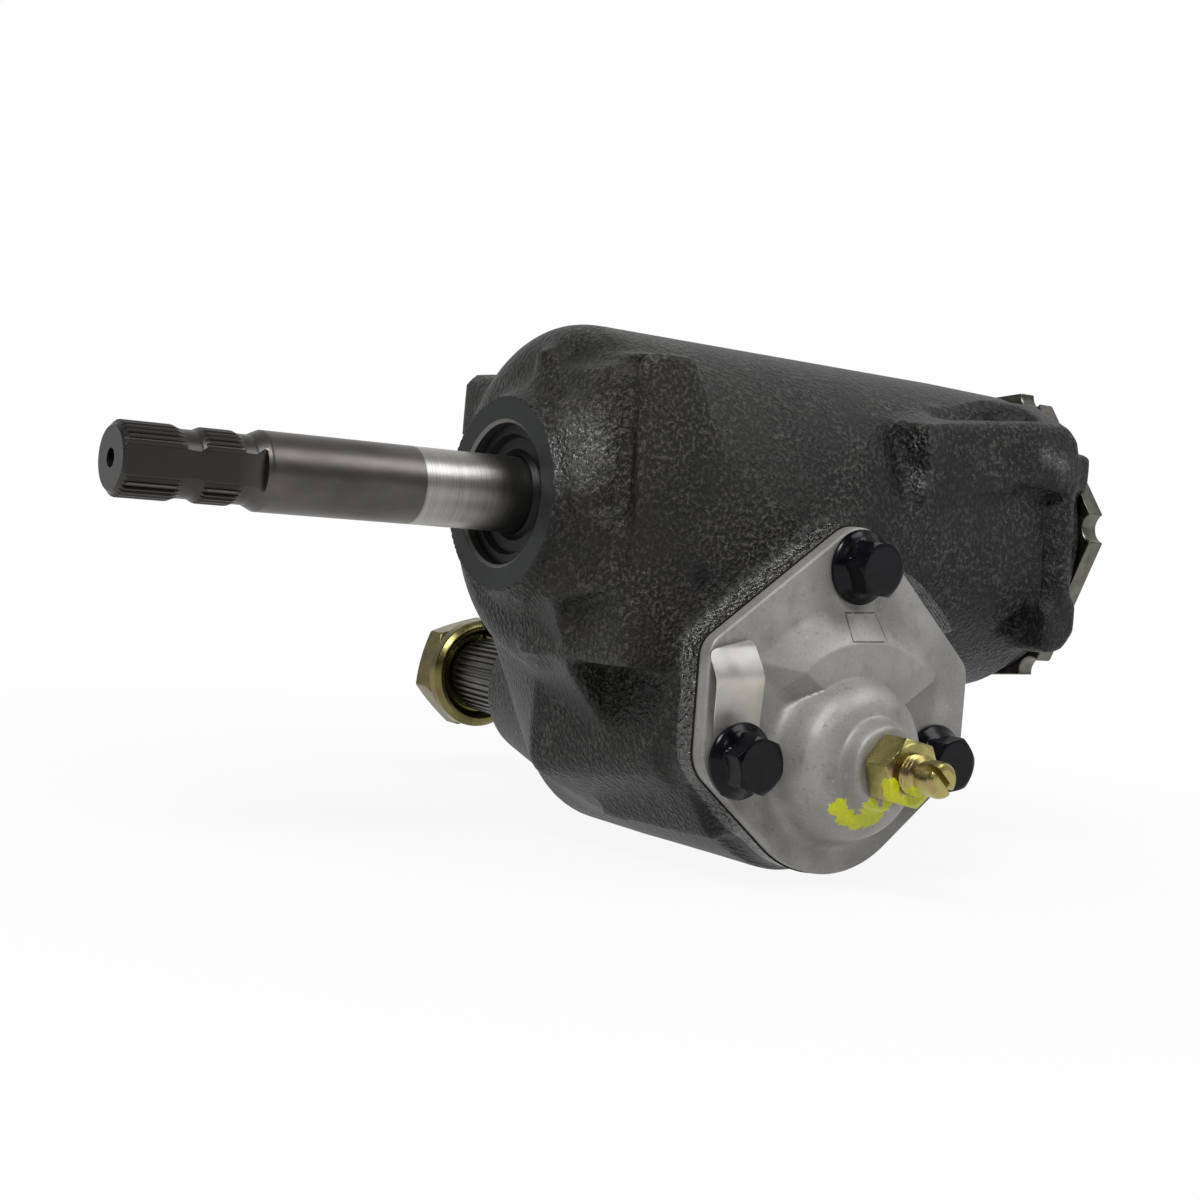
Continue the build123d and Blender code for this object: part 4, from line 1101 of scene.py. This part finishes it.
def ray_kinds(tree):
    """1 for camera rays, and 1 for glossy or transmission rays."""
    rays = node(tree, "LightPath").outputs
    shiny = maths("MAXIMUM", rays["Is Glossy Ray"], rays["Is Transmission Ray"])
    return rays["Is Camera Ray"], shiny


def pale_floor():
    """White paper that keeps the object's shadow near it and fades to plain white further out."""
    place = start("pale_floor")
    tree = place.id_data
    surface = tree.nodes["Principled BSDF"]
    surface.inputs["Base Color"].default_value = (0.55, 0.55, 0.55, 1)
    surface.inputs["Roughness"].default_value = 0.9
    seen = maths("MAXIMUM", *ray_kinds(tree))
    faded = remap(measure("LENGTH", place), 0.16, 0.40, 0.92, 1.0)
    share = maths("MULTIPLY", seen, faded)
    glow = node(tree, "Emission", {"Strength": 1.0})
    mixed = node(tree, "MixShader", {0: share, 1: surface.outputs[0], 2: glow.outputs[0]})
    tree.links.new(mixed.outputs[0], tree.nodes["Material Output"].inputs["Surface"])
    return bpy.data.materials["finish_pale_floor"]


floor.data.materials.append(pale_floor())
print("floor at z =", round(floor_z, 4))

# %% World and lamps
world = bpy.data.worlds.new("studio")
bpy.context.scene.world = world
world.use_nodes = True
sky = world.node_tree
from_camera, shiny = ray_kinds(sky)
direction = node(sky, "TexCoord").outputs["Generated"]
ahead = measure("DOT_PRODUCT", direction, tuple(forward))
room = remap(ahead, -0.4, 0.95, 0.06, 1.0)
soft = node(sky, "Background", {"Color": (0.92, 0.96, 1.0, 1), "Strength": 0.13})
mirrored = node(sky, "Background", {"Color": (1, 1, 1, 1), "Strength": room})
white = node(sky, "Background", {"Color": (1, 1, 1, 1), "Strength": 1.0})
indirect = node(sky, "MixShader", {0: shiny, 1: soft.outputs[0], 2: mirrored.outputs[0]})
either = node(sky, "MixShader", {0: from_camera, 1: indirect.outputs[0], 2: white.outputs[0]})
sky.links.new(either.outputs[0], sky.nodes["World Output"].inputs["Surface"])


def lamp(name, place, target, width, power):
    """A square soft lamp of that width, in metres, aimed at a point."""
    light = bpy.data.lights.new(name, "AREA")
    light.size = width
    light.energy = power
    holder = into_scene(name, light)
    aim = Vector(target) - Vector(place)
    turned = aim.to_track_quat("-Z", "Y").to_matrix().to_4x4()
    holder.matrix_world = Matrix.Translation(place) @ turned


middle = (cad_box[0] + cad_box[1]) / 2
lamp("key", (-0.70, -0.55, 0.82), middle, 0.36, 11.0)
lamp("top", (0.45, -0.75, 0.95), middle, 0.6, 6.0)
lamp("fill", (0.6, -1.0, 0.15), middle, 0.8, 0.7)
bpy.context.scene.view_settings.view_transform = "Standard"
print("lamps:", [light.name for light in bpy.data.lights])
